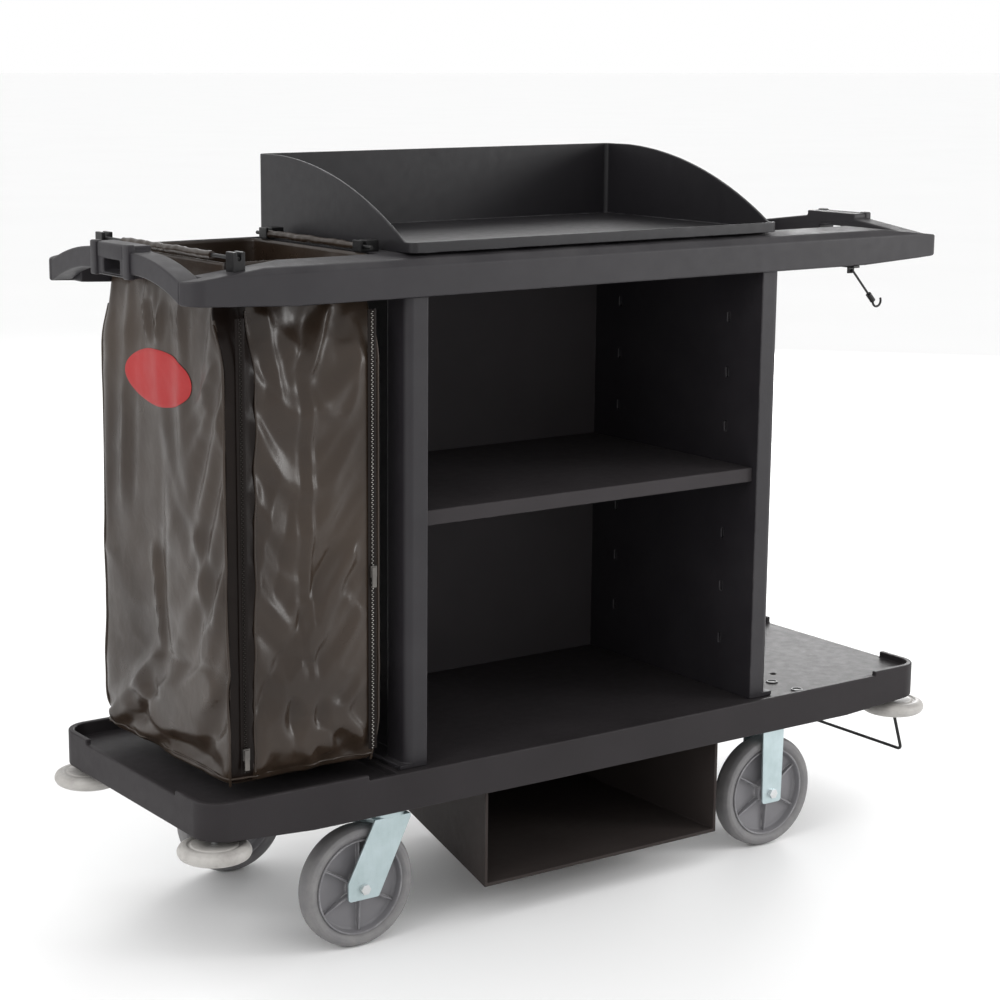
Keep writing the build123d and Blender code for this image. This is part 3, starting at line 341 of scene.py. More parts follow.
def wheel_rubber(name, colour, scuffed, rough=0.58):
    """Rubber with rubbed, dirtier patches and very small pores."""
    material, tree, shader, coordinates = start_material(name)
    surface = place_group(tree, GRAIN, Coordinates=coordinates, Scale=1400.0)
    rubbed = tree.ramp(tree.noise(coordinates, 30.0, 6.0, 0.65), 0.42, 0.68)
    streaks = tree.ramp(tree.noise(coordinates, 120.0, 4.0, 0.7), 0.6, 0.75)
    base = tree.mix(rubbed, colour, scuffed)
    base = tree.mix(tree.math("MULTIPLY", streaks, 0.35), base, tuple(0.55 * p for p in colour))
    tree.join(base, shader.inputs["Base Color"])
    tree.join(tree.ramp(rubbed, 0.0, 1.0, rough - 0.06, rough + 0.14), shader.inputs["Roughness"])
    set_bump(tree, shader, surface.outputs["Height"], 0.15, 0.0003)
    return material


def plain_floor():
    """Pale matt floor paint with the faintest unevenness."""
    material, tree, shader, coordinates = start_material("pale_floor")
    patches = tree.ramp(tree.noise(coordinates, 0.8, 3.0), 0.3, 0.7)
    paint = tree.mix(patches, (0.955, 0.955, 0.955), (0.97, 0.97, 0.97))
    tree.join(paint, shader.inputs["Base Color"])
    shader.inputs["Roughness"].default_value = 0.7
    shader.inputs["Specular IOR Level"].default_value = 0.2
    return material


CHARCOAL_WORN = (0.11, 0.105, 0.11)
FINISH = {
    "deck_plastic": moulded_plastic(
        "charcoal_deck", (0.0270, 0.0240, 0.0255), CHARCOAL_WORN, 0.5, 700, dust_and_top_sheen=0.02, shine=0.12
    ),
    # The frame's larger dust amount paints its rail tops paler, a painted sheen as well as dust.
    "frame_plastic": moulded_plastic(
        "charcoal_frame", (0.0180, 0.0160, 0.0190), CHARCOAL_WORN, 0.46, dust_and_top_sheen=0.22, shine=0.32
    ),
    "panel_plastic": moulded_plastic(
        "charcoal_panel", (0.0370, 0.0330, 0.0350), CHARCOAL_WORN, 0.55, dust_and_top_sheen=0.02, shine=0.12
    ),
    "organizer_plastic": moulded_plastic(
        "charcoal_organizer", (0.0120, 0.0110, 0.0130), (0.20, 0.20, 0.21), 0.42, dust_and_top_sheen=0.05
    ),
    "box_plastic": moulded_plastic(
        "black_box", (0.0400, 0.0330, 0.0310), (0.08, 0.08, 0.08), 0.55, dust_and_top_sheen=0.02, shine=0.05
    ),
    "clip_plastic": moulded_plastic(
        "black_clip", (0.0060, 0.0056, 0.0062), (0.06, 0.06, 0.06), 0.34, 1600, dust_and_top_sheen=0.05
    ),
    "bag_vinyl": coated_cloth(
        "brown_coated_cloth", (0.0185, 0.0115, 0.0075), (0.035, 0.0235, 0.0160)
    ),
    "zip_tape": coated_cloth(
        "dark_zip_tape", (0.006, 0.004, 0.0034), (0.010, 0.0075, 0.0065), 1100, 0.6, 0.1
    ),
    "zip_metal": plated_steel("dull_nickel", (0.15, 0.14, 0.13), (0.10, 0.095, 0.09), 0.36),
    "zinc_steel": plated_steel(
        "blue_zinc", (0.50, 0.59, 0.61), (0.42, 0.51, 0.52), 0.40, (1.0, 1.0, 0.12)
    ),
    "bright_steel": plated_steel("bright_zinc", (0.66, 0.67, 0.68), (0.55, 0.56, 0.55), 0.32),
    "black_wire": moulded_plastic(
        "powder_coat", (0.009, 0.009, 0.0095), (0.18, 0.17, 0.16), 0.4, 1200, dust_and_top_sheen=0.05
    ),
    "grey_tyre": wheel_rubber("grey_tyre_rubber", (0.150, 0.146, 0.150), (0.205, 0.200, 0.198)),
    "grey_hub": moulded_plastic(
        "grey_hub_plastic",
        (0.190, 0.186, 0.196),
        (0.50, 0.50, 0.50),
        0.38,
        1200,
        dust_and_top_sheen=0.1,
        wear=0.8,
    ),
    "bush_plastic": moulded_plastic(
        "pale_bush", (0.55, 0.54, 0.50), (0.70, 0.70, 0.68), 0.4, 1500, dust_and_top_sheen=0.1
    ),
    "bumper_rubber": wheel_rubber(
        "pale_bumper_rubber", (0.40, 0.385, 0.365), (0.30, 0.285, 0.27), 0.5
    ),
}
PATCH_CLOTH = coated_cloth(
    "red_patch_cloth", (0.27, 0.012, 0.013), (0.33, 0.018, 0.018), 1800, 0.5, 0.25
)
# Painted shade: a much darker, less shiny copy of the bag cloth for the recessed strip at the
# bag's front left corner.
GUSSET_PAINTED_SHADE_CLOTH = coated_cloth(
    "shaded_coated_cloth", (0.0060, 0.0036, 0.0028), (0.010, 0.0065, 0.0052), shine=0.12
)
DARK_TEETH = plated_steel("dark_teeth", (0.045, 0.041, 0.037), (0.028, 0.025, 0.022), 0.4)
BRIGHT_TEETH = plated_steel("bright_teeth", (0.50, 0.48, 0.45), (0.30, 0.29, 0.27), 0.3)


def finish_cad_nodes():
    """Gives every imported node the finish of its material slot."""
    for row in frame["record"]["subparts"]:
        node = nodes[row["node"]]
        node.data.materials.clear()
        node.data.materials.append(FINISH[row["material_slot"]])


# Shaping tools ------------------------------------------------------------------------------


def deselect_everything():
    if bpy.context.object and bpy.context.object.mode != "OBJECT":
        bpy.ops.object.mode_set(mode="OBJECT")
    bpy.ops.object.select_all(action="DESELECT")


def make_active(piece):
    deselect_everything()
    piece.select_set(True)
    bpy.context.view_layer.objects.active = piece


def apply_modifier(piece, kind, **settings):
    """Adds one modifier, sets it and applies it."""
    make_active(piece)
    modifier = piece.modifiers.new(kind.lower(), kind)
    for key, value in settings.items():
        setattr(modifier, key, value)
    bpy.ops.object.modifier_apply(modifier=modifier.name)


def smooth_shade(piece, degrees=35):
    make_active(piece)
    bpy.ops.object.shade_smooth_by_angle(angle=math.radians(degrees))


def put_in_place(piece):
    """Moves an object's place, turn and size into its mesh."""
    make_active(piece)
    bpy.ops.object.transform_apply(location=True, rotation=True, scale=True)


def finish_piece(piece, name, slot, body, replaced=(), degrees=35):
    """Names a piece and gives it its finish, its body and the nodes it stands for."""
    piece.name = name
    piece.data.name = name
    piece.data.materials.clear()
    piece.data.materials.append(FINISH[slot])
    smooth_shade(piece, degrees)
    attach(piece, body)
    if replaced:
        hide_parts(*replaced)
    return piece


def clean_copy(node):
    """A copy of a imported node, its loose triangles merged into whole faces."""
    piece = bpy.data.objects.new(node + "_copy", nodes[node].data.copy())
    bpy.context.collection.objects.link(piece)
    make_active(piece)
    bpy.ops.object.mode_set(mode="EDIT")
    bpy.ops.mesh.select_all(action="SELECT")
    bpy.ops.mesh.customdata_custom_splitnormals_clear()
    bpy.ops.mesh.remove_doubles(threshold=0.00002)
    bpy.ops.mesh.dissolve_limited(angle_limit=math.radians(1.0))
    bpy.ops.object.mode_set(mode="OBJECT")
    return piece


def round_edges(piece, width, segments=3, degrees=32):
    apply_modifier(
        piece,
        "BEVEL",
        width=width,
        segments=segments,
        limit_method="ANGLE",
        angle_limit=math.radians(degrees),
        use_clamp_overlap=False,
        miter_outer="MITER_ARC",
    )


def rounded_node(node, name, slot, body, width, segments=3):
    """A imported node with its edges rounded, standing for that node."""
    piece = clean_copy(node)
    round_edges(piece, width, segments)
    finish_piece(piece, name, slot, body, (node,))
    apply_modifier(piece, "WEIGHTED_NORMAL", mode="FACE_AREA", weight=90, keep_sharp=True)
    return piece


def slot_of(node):
    return next(r["material_slot"] for r in frame["record"]["subparts"] if r["node"] == node)


def body_of(node):
    groups = frame["record"]["behaviour"]["bodies"]
    return next(body for body, members in groups.items() if node in members)


def add_block(low, high, width=0.0, segments=2):
    """A box between two corners, with its edges rounded."""
    low, high = Vector(low), Vector(high)
    bpy.ops.mesh.primitive_cube_add(size=1, location=(low + high) / 2)
    piece = bpy.context.object
    piece.scale = high - low
    put_in_place(piece)
    if width:
        round_edges(piece, width, segments)
    return piece


def spin_ring(profile, centre, axis="Y", steps=72):
    """Turns a closed profile of (radius, height) points about an axis through centre."""
    mesh = bpy.data.meshes.new("ring")
    centre = Vector(centre)
    points = []
    for radius, height in profile:
        offset = Vector((radius, height, 0)) if axis == "Y" else Vector((radius, 0, height))
        points.append(centre + offset)
    count = len(points)
    mesh.from_pydata(points, [(i, (i + 1) % count) for i in range(count)], [])
    piece = bpy.data.objects.new("ring", mesh)
    bpy.context.collection.objects.link(piece)
    make_active(piece)
    bpy.ops.object.mode_set(mode="EDIT")
    bpy.ops.mesh.select_all(action="SELECT")
    turn = (0, 1, 0) if axis == "Y" else (0, 0, 1)
    bpy.ops.mesh.spin(steps=steps, angle=2 * math.pi, center=centre, axis=turn)
    bpy.ops.mesh.select_all(action="SELECT")
    bpy.ops.mesh.remove_doubles(threshold=0.00001)
    bpy.ops.mesh.normals_make_consistent(inside=False)
    bpy.ops.object.mode_set(mode="OBJECT")
    return piece


def copy_piece(piece, move=None):
    """A copy with a mesh of its own, moved by a matrix."""
    twin = piece.copy()
    twin.data = piece.data.copy()
    bpy.context.collection.objects.link(twin)
    if move is not None:
        twin.data.transform(move)
    return twin


def join_pieces(pieces):
    deselect_everything()
    for piece in pieces:
        piece.select_set(True)
    bpy.context.view_layer.objects.active = pieces[0]
    bpy.ops.object.join()
    return bpy.context.object


def tube_along(points, radius, name, smooth=True, resolution=4):
    """A round tube along a list of points, made a mesh."""
    curve = bpy.data.curves.new(name, "CURVE")
    curve.dimensions = "3D"
    curve.bevel_depth = radius
    curve.bevel_resolution = resolution
    curve.use_fill_caps = True
    line = curve.splines.new("NURBS" if smooth else "POLY")
    line.points.add(len(points) - 1)
    for spot, place in zip(line.points, points):
        spot.co = (*place, 1)
    if smooth:
        line.order_u = 3
        line.use_endpoint_u = True
        line.resolution_u = 4
    piece = bpy.data.objects.new(name, curve)
    bpy.context.collection.objects.link(piece)
    make_active(piece)
    bpy.ops.object.convert(target="MESH")
    return bpy.context.object


# Deck, cabinet and top frame ----------------------------------------------------------------

CHEEK_SPANS = ((-0.064, -0.046), (0.046, 0.064))
CHEEK_PROUD = 0.0045
CHEEK_HEIGHT = 0.051
BROW_HALF = 0.044
BROW_PROUD = 0.002
BROW_HEIGHT = 0.024
HANDLE_BURY = 0.010
PLUG_PLACES = ((0.460, -0.173), (0.462, -0.236))


def make_handle_cheeks():
    """Upright cheeks beside each end handle's hole, and a brow over it."""
    for side, node in ((-1, "left_crossbar"), (1, "right_crossbar")):
        low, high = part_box(node)
        face = low.x if side < 0 else high.x
        cheeks = []
        near, far = sorted((face - side * HANDLE_BURY, face + side * CHEEK_PROUD))
        for y_low, y_high in CHEEK_SPANS:
            low_corner = (near, y_low, high.z - CHEEK_HEIGHT)
            cheeks.append(add_block(low_corner, (far, y_high, high.z + 0.002), 0.003, 3))
        near, far = sorted((face - side * HANDLE_BURY, face + side * BROW_PROUD))
        low_corner = (near, -BROW_HALF, high.z - BROW_HEIGHT)
        cheeks.append(add_block(low_corner, (far, BROW_HALF, high.z + 0.0005), 0.004, 3))
        finish_piece(join_pieces(cheeks), node + "_cheeks", "frame_plastic", body_of(node))


def make_deck_plugs():
    """Two round plugs with a raised ring, set in the deck beside the cabinet."""
    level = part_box("right_wall")[0].z
    profile = (
        (0.0, -0.0015),
        (0.0105, -0.0015),
        (0.0110, 0.0004),
        (0.0098, 0.0022),
        (0.0082, 0.0022),
        (0.0072, 0.0006),
        (0.0, 0.0010),
    )
    plugs = []
    for place in PLUG_PLACES:
        plug = spin_ring(profile, (*place, level), "Z", 40)
        round_edges(plug, 0.0003, 2, 20)
        plugs.append(plug)
    finish_piece(join_pieces(plugs), "deck_plugs", "clip_plastic", "frame")


def make_hard_shell():
    """The moulded parts of the frame, with rounded edges."""
    widths = {
        "base_deck": 0.0025,
        "left_wall": 0.002,
        "right_wall": 0.002,
        "middle_shelf": 0.0025,
        "front_rail": 0.003,
        "rear_rail": 0.003,
        "left_crossbar": 0.003,
        "right_crossbar": 0.003,
        "top_panel": 0.0015,
        "organizer": 0.0016,
        "under_deck_box": 0.0015,
        "rail_clips": 0.0012,
        "wall_clips": 0.0012,
        "rigid_forks": 0.0008,
        "front_left_fork": 0.0008,
        "rear_left_fork": 0.0008,
        "swivel_plates": 0.0008,
        "hook_bracket": 0.0006,
        "hoop_brackets": 0.0012,
    }
    for node, width in widths.items():
        rounded_node(node, node + "_shape", slot_of(node), body_of(node), width)


# Wheels and bumpers -------------------------------------------------------------------------

TYRE_THICK = 0.0215
RIM_HALF_WIDTH = 0.0168
HUB_HALF_WIDTH = 0.021
RIB_COUNT = 6
RIB_HALF_THICK = 0.0020
RIB_HALF_DEPTH = 0.0145
RIB_NARROWING = 0.72


def make_wheels():
    """Four wheels: a tyre with a stepped side wall round a moulded centre."""
    for corner in CORNERS:
        tyre_low, tyre_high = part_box(corner + "_tyre")
        centre = (tyre_low + tyre_high) / 2
        body = corner + "_roller"
        radius = (tyre_high.z - tyre_low.z) / 2
        half = (tyre_high.y - tyre_low.y) / 2
        inner = radius - TYRE_THICK
        tread = (
            (inner, -half + 0.005),
            (inner + 0.002, -half + 0.0045),
            (inner + 0.004, -half + 0.0025),
            (inner + 0.007, -half + 0.0008),
            (radius - 0.009, -half),
            (radius - 0.004, -half + 0.002),
            (radius - 0.0008, -half + 0.008),
            (radius, -0.006),
            (radius, 0.006),
            (radius - 0.0008, half - 0.008),
            (radius - 0.004, half - 0.002),
            (radius - 0.009, half),
            (inner + 0.007, half - 0.0008),
            (inner + 0.004, half - 0.0025),
            (inner + 0.002, half - 0.0045),
            (inner, half - 0.005),
        )
        tyre = spin_ring(tread, centre, steps=96)
        round_edges(tyre, 0.0007, 2, 20)
        finish_piece(tyre, corner + "_tyre_ring", "grey_tyre", body, (corner + "_tyre",), 30)
        make_wheel_centre(corner, centre, inner, body)


def make_wheel_centre(corner, centre, rim_radius, body):
    """The moulded centre: a thin rim lip round a closed web, six thin ribs, a stepped hub."""
    rim_half, hub_half = RIM_HALF_WIDTH, HUB_HALF_WIDTH
    profile = (
        (0.008, hub_half),
        (0.0130, hub_half),
        (0.0145, hub_half - 0.003),
        (0.0205, hub_half - 0.004),
        (0.0225, hub_half - 0.006),
        (0.0230, 0.0062),
        (0.0260, 0.0046),
        (0.0500, 0.0034),
        (rim_radius - 0.008, 0.0038),
        (rim_radius - 0.0055, 0.0060),
        (rim_radius - 0.0042, rim_half - 0.003),
        (rim_radius - 0.0030, rim_half),
        (rim_radius - 0.0006, rim_half),
        (rim_radius, rim_half - 0.002),
    )
    outline = [*profile, *((radius, -side) for radius, side in reversed(profile))]
    disc = spin_ring(outline, centre, steps=96)
    round_edges(disc, 0.0006, 2, 20)
    pieces = [disc]
    rib_low, rib_high = 0.020, rim_radius - 0.0045
    rib = add_block(
        (-RIB_HALF_THICK, -RIB_HALF_DEPTH, rib_low), (RIB_HALF_THICK, RIB_HALF_DEPTH, rib_high)
    )
    narrow_end(rib, rib_high, RIB_NARROWING)
    round_edges(rib, 0.0012)
    for number in range(RIB_COUNT):
        turn = Matrix.Rotation(2 * math.pi * number / RIB_COUNT, 4, "Y")
        place = Matrix.Translation(centre) @ turn
        pieces.append(copy_piece(rib, place))
    bpy.data.objects.remove(rib)
    wheel = join_pieces(pieces)
    finish_piece(wheel, corner + "_wheel_centre", "grey_hub", body, (corner + "_wheel",), 30)


def narrow_end(piece, level, share):
    """Scales the end of a block that lies at the given height."""
    make_active(piece)
    bpy.ops.object.mode_set(mode="EDIT")
    bpy.ops.mesh.select_all(action="DESELECT")
    cage = bmesh.from_edit_mesh(piece.data)
    for corner in cage.verts:
        corner.select = abs(corner.co.z - level) < 0.0005
    cage.select_flush(True)
    bmesh.update_edit_mesh(piece.data)
    bpy.ops.transform.resize(value=(share, share, 1), center_override=(0, 0, level))
    bpy.ops.object.mode_set(mode="OBJECT")


def make_bumpers():
    """Soft rollers under the deck's corners, with a rounded tread and a hub groove."""
    for corner in CORNERS:
        low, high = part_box(corner + "_bumper")
        centre = (low + high) / 2
        radius = (high.x - low.x) / 2
        half = (high.z - low.z) / 2
        profile = (
            (0.0052, -half + 0.010),
            (0.014, -half + 0.010),
            (0.014, -half + 0.001),
            (0.016, -half),
            (0.036, -half),
            (0.038, -half + 0.002),
            (0.041, -half + 0.002),
            (0.043, -half),
            (radius - 0.009, -half + 0.0006),
            (radius - 0.003, -half + 0.004),
            (radius, -half + 0.0095),
            (radius, half - 0.0095),
            (radius - 0.003, half - 0.004),
            (radius - 0.009, half - 0.0006),
            (0.043, half),
            (0.041, half - 0.002),
            (0.038, half - 0.002),
            (0.036, half),
            (0.0052, half),
        )
        ring = spin_ring(profile, centre, "Z", 80)
        round_edges(ring, 0.001, 2, 22)
        name = corner + "_bumper"
        finish_piece(ring, name + "_roller", "bumper_rubber", body_of(name), (name,), 30)


# Bag ----------------------------------------------------------------------------------------

BAG_LOW, BAG_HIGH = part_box("bag")
RAIL_INNER = -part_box("front_rail")[1].y
RAIL_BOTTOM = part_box("front_rail")[0].z
BAG_AROUND = 124
BAG_ROWS = 72
BAG_CORNER = 0.02
NECK_LEFT = BAG_LOW.x + 0.024
NECK_HALF = RAIL_INNER - 0.004
GUSSET_LEFT = BAG_LOW.x + 0.005
GUSSET_TOP = BAG_LOW.x + 0.060
GUSSET_FOOT = BAG_LOW.x + 0.046
GUSSET_STEPS = 39
CLOTH_THICK = 0.0014
CLOTH_FRAMES = 26
CLOTH_TRAVEL = 0.012
SLEEVE_REACH = 0.145
PATCH_Y, PATCH_Z, PATCH_WIDE = 0.012, 0.915, 0.112
# Folds pressed into the cloth: side, start, end, half width and depth. The front side's points
# are x and z, and the outer end's are y and z.
FOLDS = (
    ("front", (-0.470, 0.660), (-0.566, 0.486), 0.016, 0.011),
    ("front", (-0.566, 0.486), (-0.650, 0.318), 0.018, 0.012),
    ("front", (-0.566, 0.486), (-0.551, 0.316), 0.011, 0.009),
    ("front", (-0.520, 0.420), (-0.436, 0.330), 0.013, 0.011),
    ("front", (-0.482, 1.060), (-0.543, 0.932), 0.010, 0.009),
    ("front", (-0.543, 0.932), (-0.548, 0.340), 0.007, 0.006),
    ("front", (-0.610, 1.060), (-0.590, 0.900), 0.012, 0.006),
    ("front", (-0.640, 0.600), (-0.600, 0.780), 0.016, 0.006),
    ("end", (0.050, 0.640), (0.012, 0.480), 0.012, 0.008),
    ("end", (0.012, 0.480), (0.180, 0.335), 0.022, 0.013),
    ("end", (0.030, 0.420), (-0.190, 0.440), 0.022, 0.011),
    ("end", (0.100, 0.350), (-0.170, 0.330), 0.020, -0.012),
    ("end", (0.070, 1.060), (0.040, 0.960), 0.010, 0.009),
    ("end", (-0.010, 1.060), (0.010, 0.970), 0.009, 0.008),
    ("end", (-0.080, 1.060), (-0.060, 0.930), 0.011, 0.009),
    ("end", (-0.190, 0.960), (-0.090, 0.860), 0.010, 0.007),
    ("end", (0.120, 1.000), (0.150, 0.700), 0.016, 0.006),
    ("end", (-0.120, 0.700), (-0.150, 0.500), 0.014, 0.006),
)


def ease(value, low, high):
    """0 below low, 1 above high, and smooth between."""
    share = min(1, max(0, (value - low) / (high - low)))
    return share * share * (3 - 2 * share)


def bag_section(height):
    """Left, right and half depth of the bag at a height."""
    neck = ease(height, RAIL_BOTTOM - 0.095, RAIL_BOTTOM + 0.012)
    foot = 1 - ease(height, BAG_LOW.z - 0.01, BAG_LOW.z + 0.07)
    drawn = ease(height, RAIL_BOTTOM - 0.01, BAG_HIGH.z - 0.01)
    left = BAG_LOW.x + (NECK_LEFT - BAG_LOW.x) * drawn + 0.006 * foot + 0.001
    right = BAG_HIGH.x - 0.012 - 0.009 * foot + 0.0065 * neck
    body_half = BAG_HIGH.y - 0.002 - 0.010 * foot
    return left, right, body_half + (NECK_HALF - body_half) * neck


def around_bag(share, height):
    """A point on the bag's outline and its outward direction, from the front left corner."""
    left, right, half = bag_section(height)
    corners = ((left, -half), (right, -half), (right, half), (left, half))
    sides = []
    for index in range(4):
        start, end = Vector(corners[index]), Vector(corners[(index + 1) % 4])
        sides.append((start, end, (end - start).length))
    quarter, local = divmod(share * 4, 1)
    start, end, length = sides[int(quarter) % 4]
    along = (end - start) / length
    outward = Vector((along.y, -along.x))
    distance = local * length
    inset = 0.0
    turn = 0.0
    for gap, sign in ((distance, -1), (length - distance, 1)):
        if gap < BAG_CORNER:
            closeness = 1 - gap / BAG_CORNER
            inset = 0.29 * BAG_CORNER * closeness * closeness
            turn = sign * 0.5 * closeness
    direction = (outward + along * turn).normalized()
    place = start + along * distance - direction * inset
    return place, direction


def near_zip(place):
    """How close a point is to either zip on the front side, from 0 to 1."""
    closeness = 0
    for node in ("corner_zip_slider", "front_zip_slider"):
        low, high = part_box(node)
        middle = (low.x + high.x) / 2
        if place.y < 0:
            closeness = max(closeness, 1 - ease(abs(place.x - middle), 0.008, 0.026))
    return closeness


def fold_depth(place, height):
    """How far the cloth stands out at a point: hanging folds, slanting creases, crumples."""
    spot = Vector((place.x, place.y, height))
    hanging = noise.noise(Vector((spot.x * 7, spot.y * 7, spot.z * 2.2))) * 0.005
    slant = Vector((spot.x * 4.5 + spot.z * 3.4, spot.y * 4.5 - spot.z * 3.0, spot.z * 2.2))
    ridge = 1 - abs(noise.noise(slant + Vector((3.1, 7.7, 1.9)))) * 2.4
    crease = max(0, ridge) ** 3 * 0.0065
    low_share = 1 - ease(height, BAG_LOW.z + 0.05, BAG_LOW.z + 0.34)
    sag = Vector((spot.x * 7 - spot.z * 6, spot.y * 7 + spot.z * 6, spot.z * 5))
    low_ridge = max(0, 1 - abs(noise.noise(sag)) * 2.6) ** 2 * 0.008 * low_share
    high_share = ease(height, RAIL_BOTTOM - 0.16, RAIL_BOTTOM - 0.02)
    gather = noise.noise(Vector((spot.x * 38, spot.y * 38, spot.z * 5))) * 0.007 * high_share
    crumple = noise.noise(spot * 24) * 0.0012
    left, right, half = bag_section(height)
    from_side = min(abs(place.x - left), abs(place.x - right))
    from_corner = max(from_side, min(abs(place.y - half), abs(place.y + half)))
    calm = 0.2 + 0.8 * ease(from_corner, 0.0, 0.055)
    depth = (hanging + crease + low_ridge + gather + crumple - 0.004) * calm
    if place.y < 0 and from_corner == from_side:
        inside = ease(place.x, GUSSET_LEFT, GUSSET_LEFT + 0.006)
        edge = gusset_edge(height)
        inside *= 1 - ease(place.x, edge - 0.010, edge)
        depth -= 0.009 * inside
    return depth


def gusset_edge(height):
    """Where the shaded strip at the bag's front left corner meets the front side."""
    return GUSSET_FOOT + (GUSSET_TOP - GUSSET_FOOT) * ease(height, BAG_LOW.z, BAG_HIGH.z)


def press_folds(shell):
    """Presses the long folds and small sharp creases into the settled cloth."""
    left, right = BAG_LOW.x, BAG_HIGH.x
    for vertex in shell.data.vertices:
        place = vertex.co
        if place.z < BAG_LOW.z + 0.006 or place.z > BAG_HIGH.z - 0.02:
            continue
        front = -place.y > BAG_HIGH.y - 0.045
        end = place.x < left + 0.035
        side = "end" if end and not (front and place.x > left + 0.01) else "front" if front else ""
        outward = Vector((-1, 0, 0)) if side == "end" else Vector((0, -1, 0))
        if not side:
            outward = Vector((1, 0, 0)) if place.x > right - 0.03 else Vector((0, 1, 0))
        flat = Vector((place.y if side == "end" else place.x, place.z))
        depth = 0.0
        for fold_side, start, finish, width, height in FOLDS:
            if fold_side != side:
                continue
            start, finish = Vector(start), Vector(finish)
            line = finish - start
            share = (flat - start).dot(line) / line.length_squared
            inside = ease(share, -0.08, 0.12) * (1 - ease(share, 0.85, 1.1))
            across = (flat - start).cross(line) / line.length / width
            across /= 1.45
            across += noise.noise(Vector((flat.x * 9, flat.y * 9, width * 90))) * 0.35
            crest = max(0.0, 1 - abs(across)) ** 1.4 - 0.55 * max(0.0, 1 - abs(across - 1.5)) ** 2
            depth += height * crest * inside
        spot = Vector((place.x * 11 + place.z * 5, place.y * 11 - place.z * 5, place.z * 7))
        sharp = max(0.0, 1 - abs(noise.noise(spot)) * 3.4) ** 2
        patchy = ease(noise.noise(place * 5 + Vector((4, 2, 9))), -0.05, 0.35)
        depth += 0.0045 * sharp * patchy
        behind = Vector((place.y - PATCH_Y, (place.z - PATCH_Z) * 2)).length / PATCH_WIDE
        if side == "end":
            depth *= 0.25 + 0.75 * ease(behind, 0.8, 1.5)
        depth *= (1 - 0.95 * near_zip(place)) * ease(place.z, BAG_LOW.z + 0.004, BAG_LOW.z + 0.03)
        depth *= 1 - ease(place.z, RAIL_BOTTOM - 0.02, RAIL_BOTTOM)
        vertex.co = place + outward * depth


def bag_rows():
    """Heights of the bag's rows, evenly spaced from the bottom to the top."""
    top = BAG_HIGH.z - 0.001
    return [BAG_LOW.z + (top - BAG_LOW.z) * row / BAG_ROWS for row in range(BAG_ROWS + 1)]


def make_bag_shell():
    """The sewn shell as one open surface: four sides and a bottom."""
    cage = bmesh.new()
    rings = []
    for height in bag_rows():
        ring = []
        for index in range(BAG_AROUND):
            place, direction = around_bag(index / BAG_AROUND, height)
            depth = fold_depth(place, height)
            depth *= 1 - 0.9 * near_zip(place)
            depth *= 1 - ease(height, BAG_HIGH.z - 0.05, BAG_HIGH.z - 0.004)
            if height > RAIL_BOTTOM - 0.012:
                depth = min(depth, 0.001)
            place = place + direction * depth
            ring.append(cage.verts.new((place.x, place.y, height)))
        rings.append(ring)
    for lower, upper in zip(rings, rings[1:]):
        for index in range(BAG_AROUND):
            after = (index + 1) % BAG_AROUND
            cage.faces.new((lower[index], lower[after], upper[after], upper[index]))
    inner = rings[0]
    middle = Vector(((BAG_LOW.x + BAG_HIGH.x) / 2, 0, BAG_LOW.z))
    for step in range(1, 10):
        ring = []
        for vertex in rings[0]:
            share = 1 - step / 10
            spot = middle.lerp(Vector((vertex.co.x, vertex.co.y, BAG_LOW.z)), share)
            bulge = noise.noise(spot * 14) * 0.003
            ring.append(cage.verts.new((spot.x, spot.y, BAG_LOW.z + 0.002 + bulge)))
        for index in range(BAG_AROUND):
            after = (index + 1) % BAG_AROUND
            cage.faces.new((ring[index], ring[after], inner[after], inner[index]))
        inner = ring
    cage.faces.new(list(reversed(inner)))
    mesh = bpy.data.meshes.new("bag_shell")
    cage.to_mesh(mesh)
    cage.free()
    shell = bpy.data.objects.new("bag_shell", mesh)
    bpy.context.collection.objects.link(shell)
    return shell


def settle_cloth(shell):
    """Lets the cloth buckle a little under its own weight, held at hem, zips and bottom."""
    rest = [vertex.co.copy() for vertex in shell.data.vertices]
    held = shell.vertex_groups.new(name="held")
    for vertex in shell.data.vertices:
        place = vertex.co
        grip = ease(place.z, BAG_HIGH.z - 0.06, BAG_HIGH.z - 0.03)
        grip = max(grip, 1 - ease(place.z, BAG_LOW.z + 0.002, BAG_LOW.z + 0.012))
        if place.y < 0:
            grip = max(grip, near_zip(Vector((place.x, place.y))))
        held.add([vertex.index], grip, "REPLACE")
    make_active(shell)
    cloth = shell.modifiers.new("cloth", "CLOTH")
    cloth.settings.quality = 6
    cloth.settings.mass = 0.25
    cloth.settings.tension_stiffness = 25
    cloth.settings.compression_stiffness = 12
    cloth.settings.shear_stiffness = 8
    cloth.settings.bending_stiffness = 0.35
    cloth.settings.shrink_min = -0.022
    cloth.settings.vertex_group_mass = "held"
    cloth.settings.pin_stiffness = 3
    cloth.collision_settings.use_collision = False
    cloth.point_cache.frame_start = 1
    cloth.point_cache.frame_end = CLOTH_FRAMES
    for number in range(1, CLOTH_FRAMES + 1):
        bpy.context.scene.frame_set(number)
    bpy.ops.object.modifier_apply(modifier="cloth")
    bpy.context.scene.frame_set(1)
    for vertex, start in zip(shell.data.vertices, rest):
        change = vertex.co - start
        if change.length > CLOTH_TRAVEL:
            vertex.co = start + change * (CLOTH_TRAVEL / change.length)


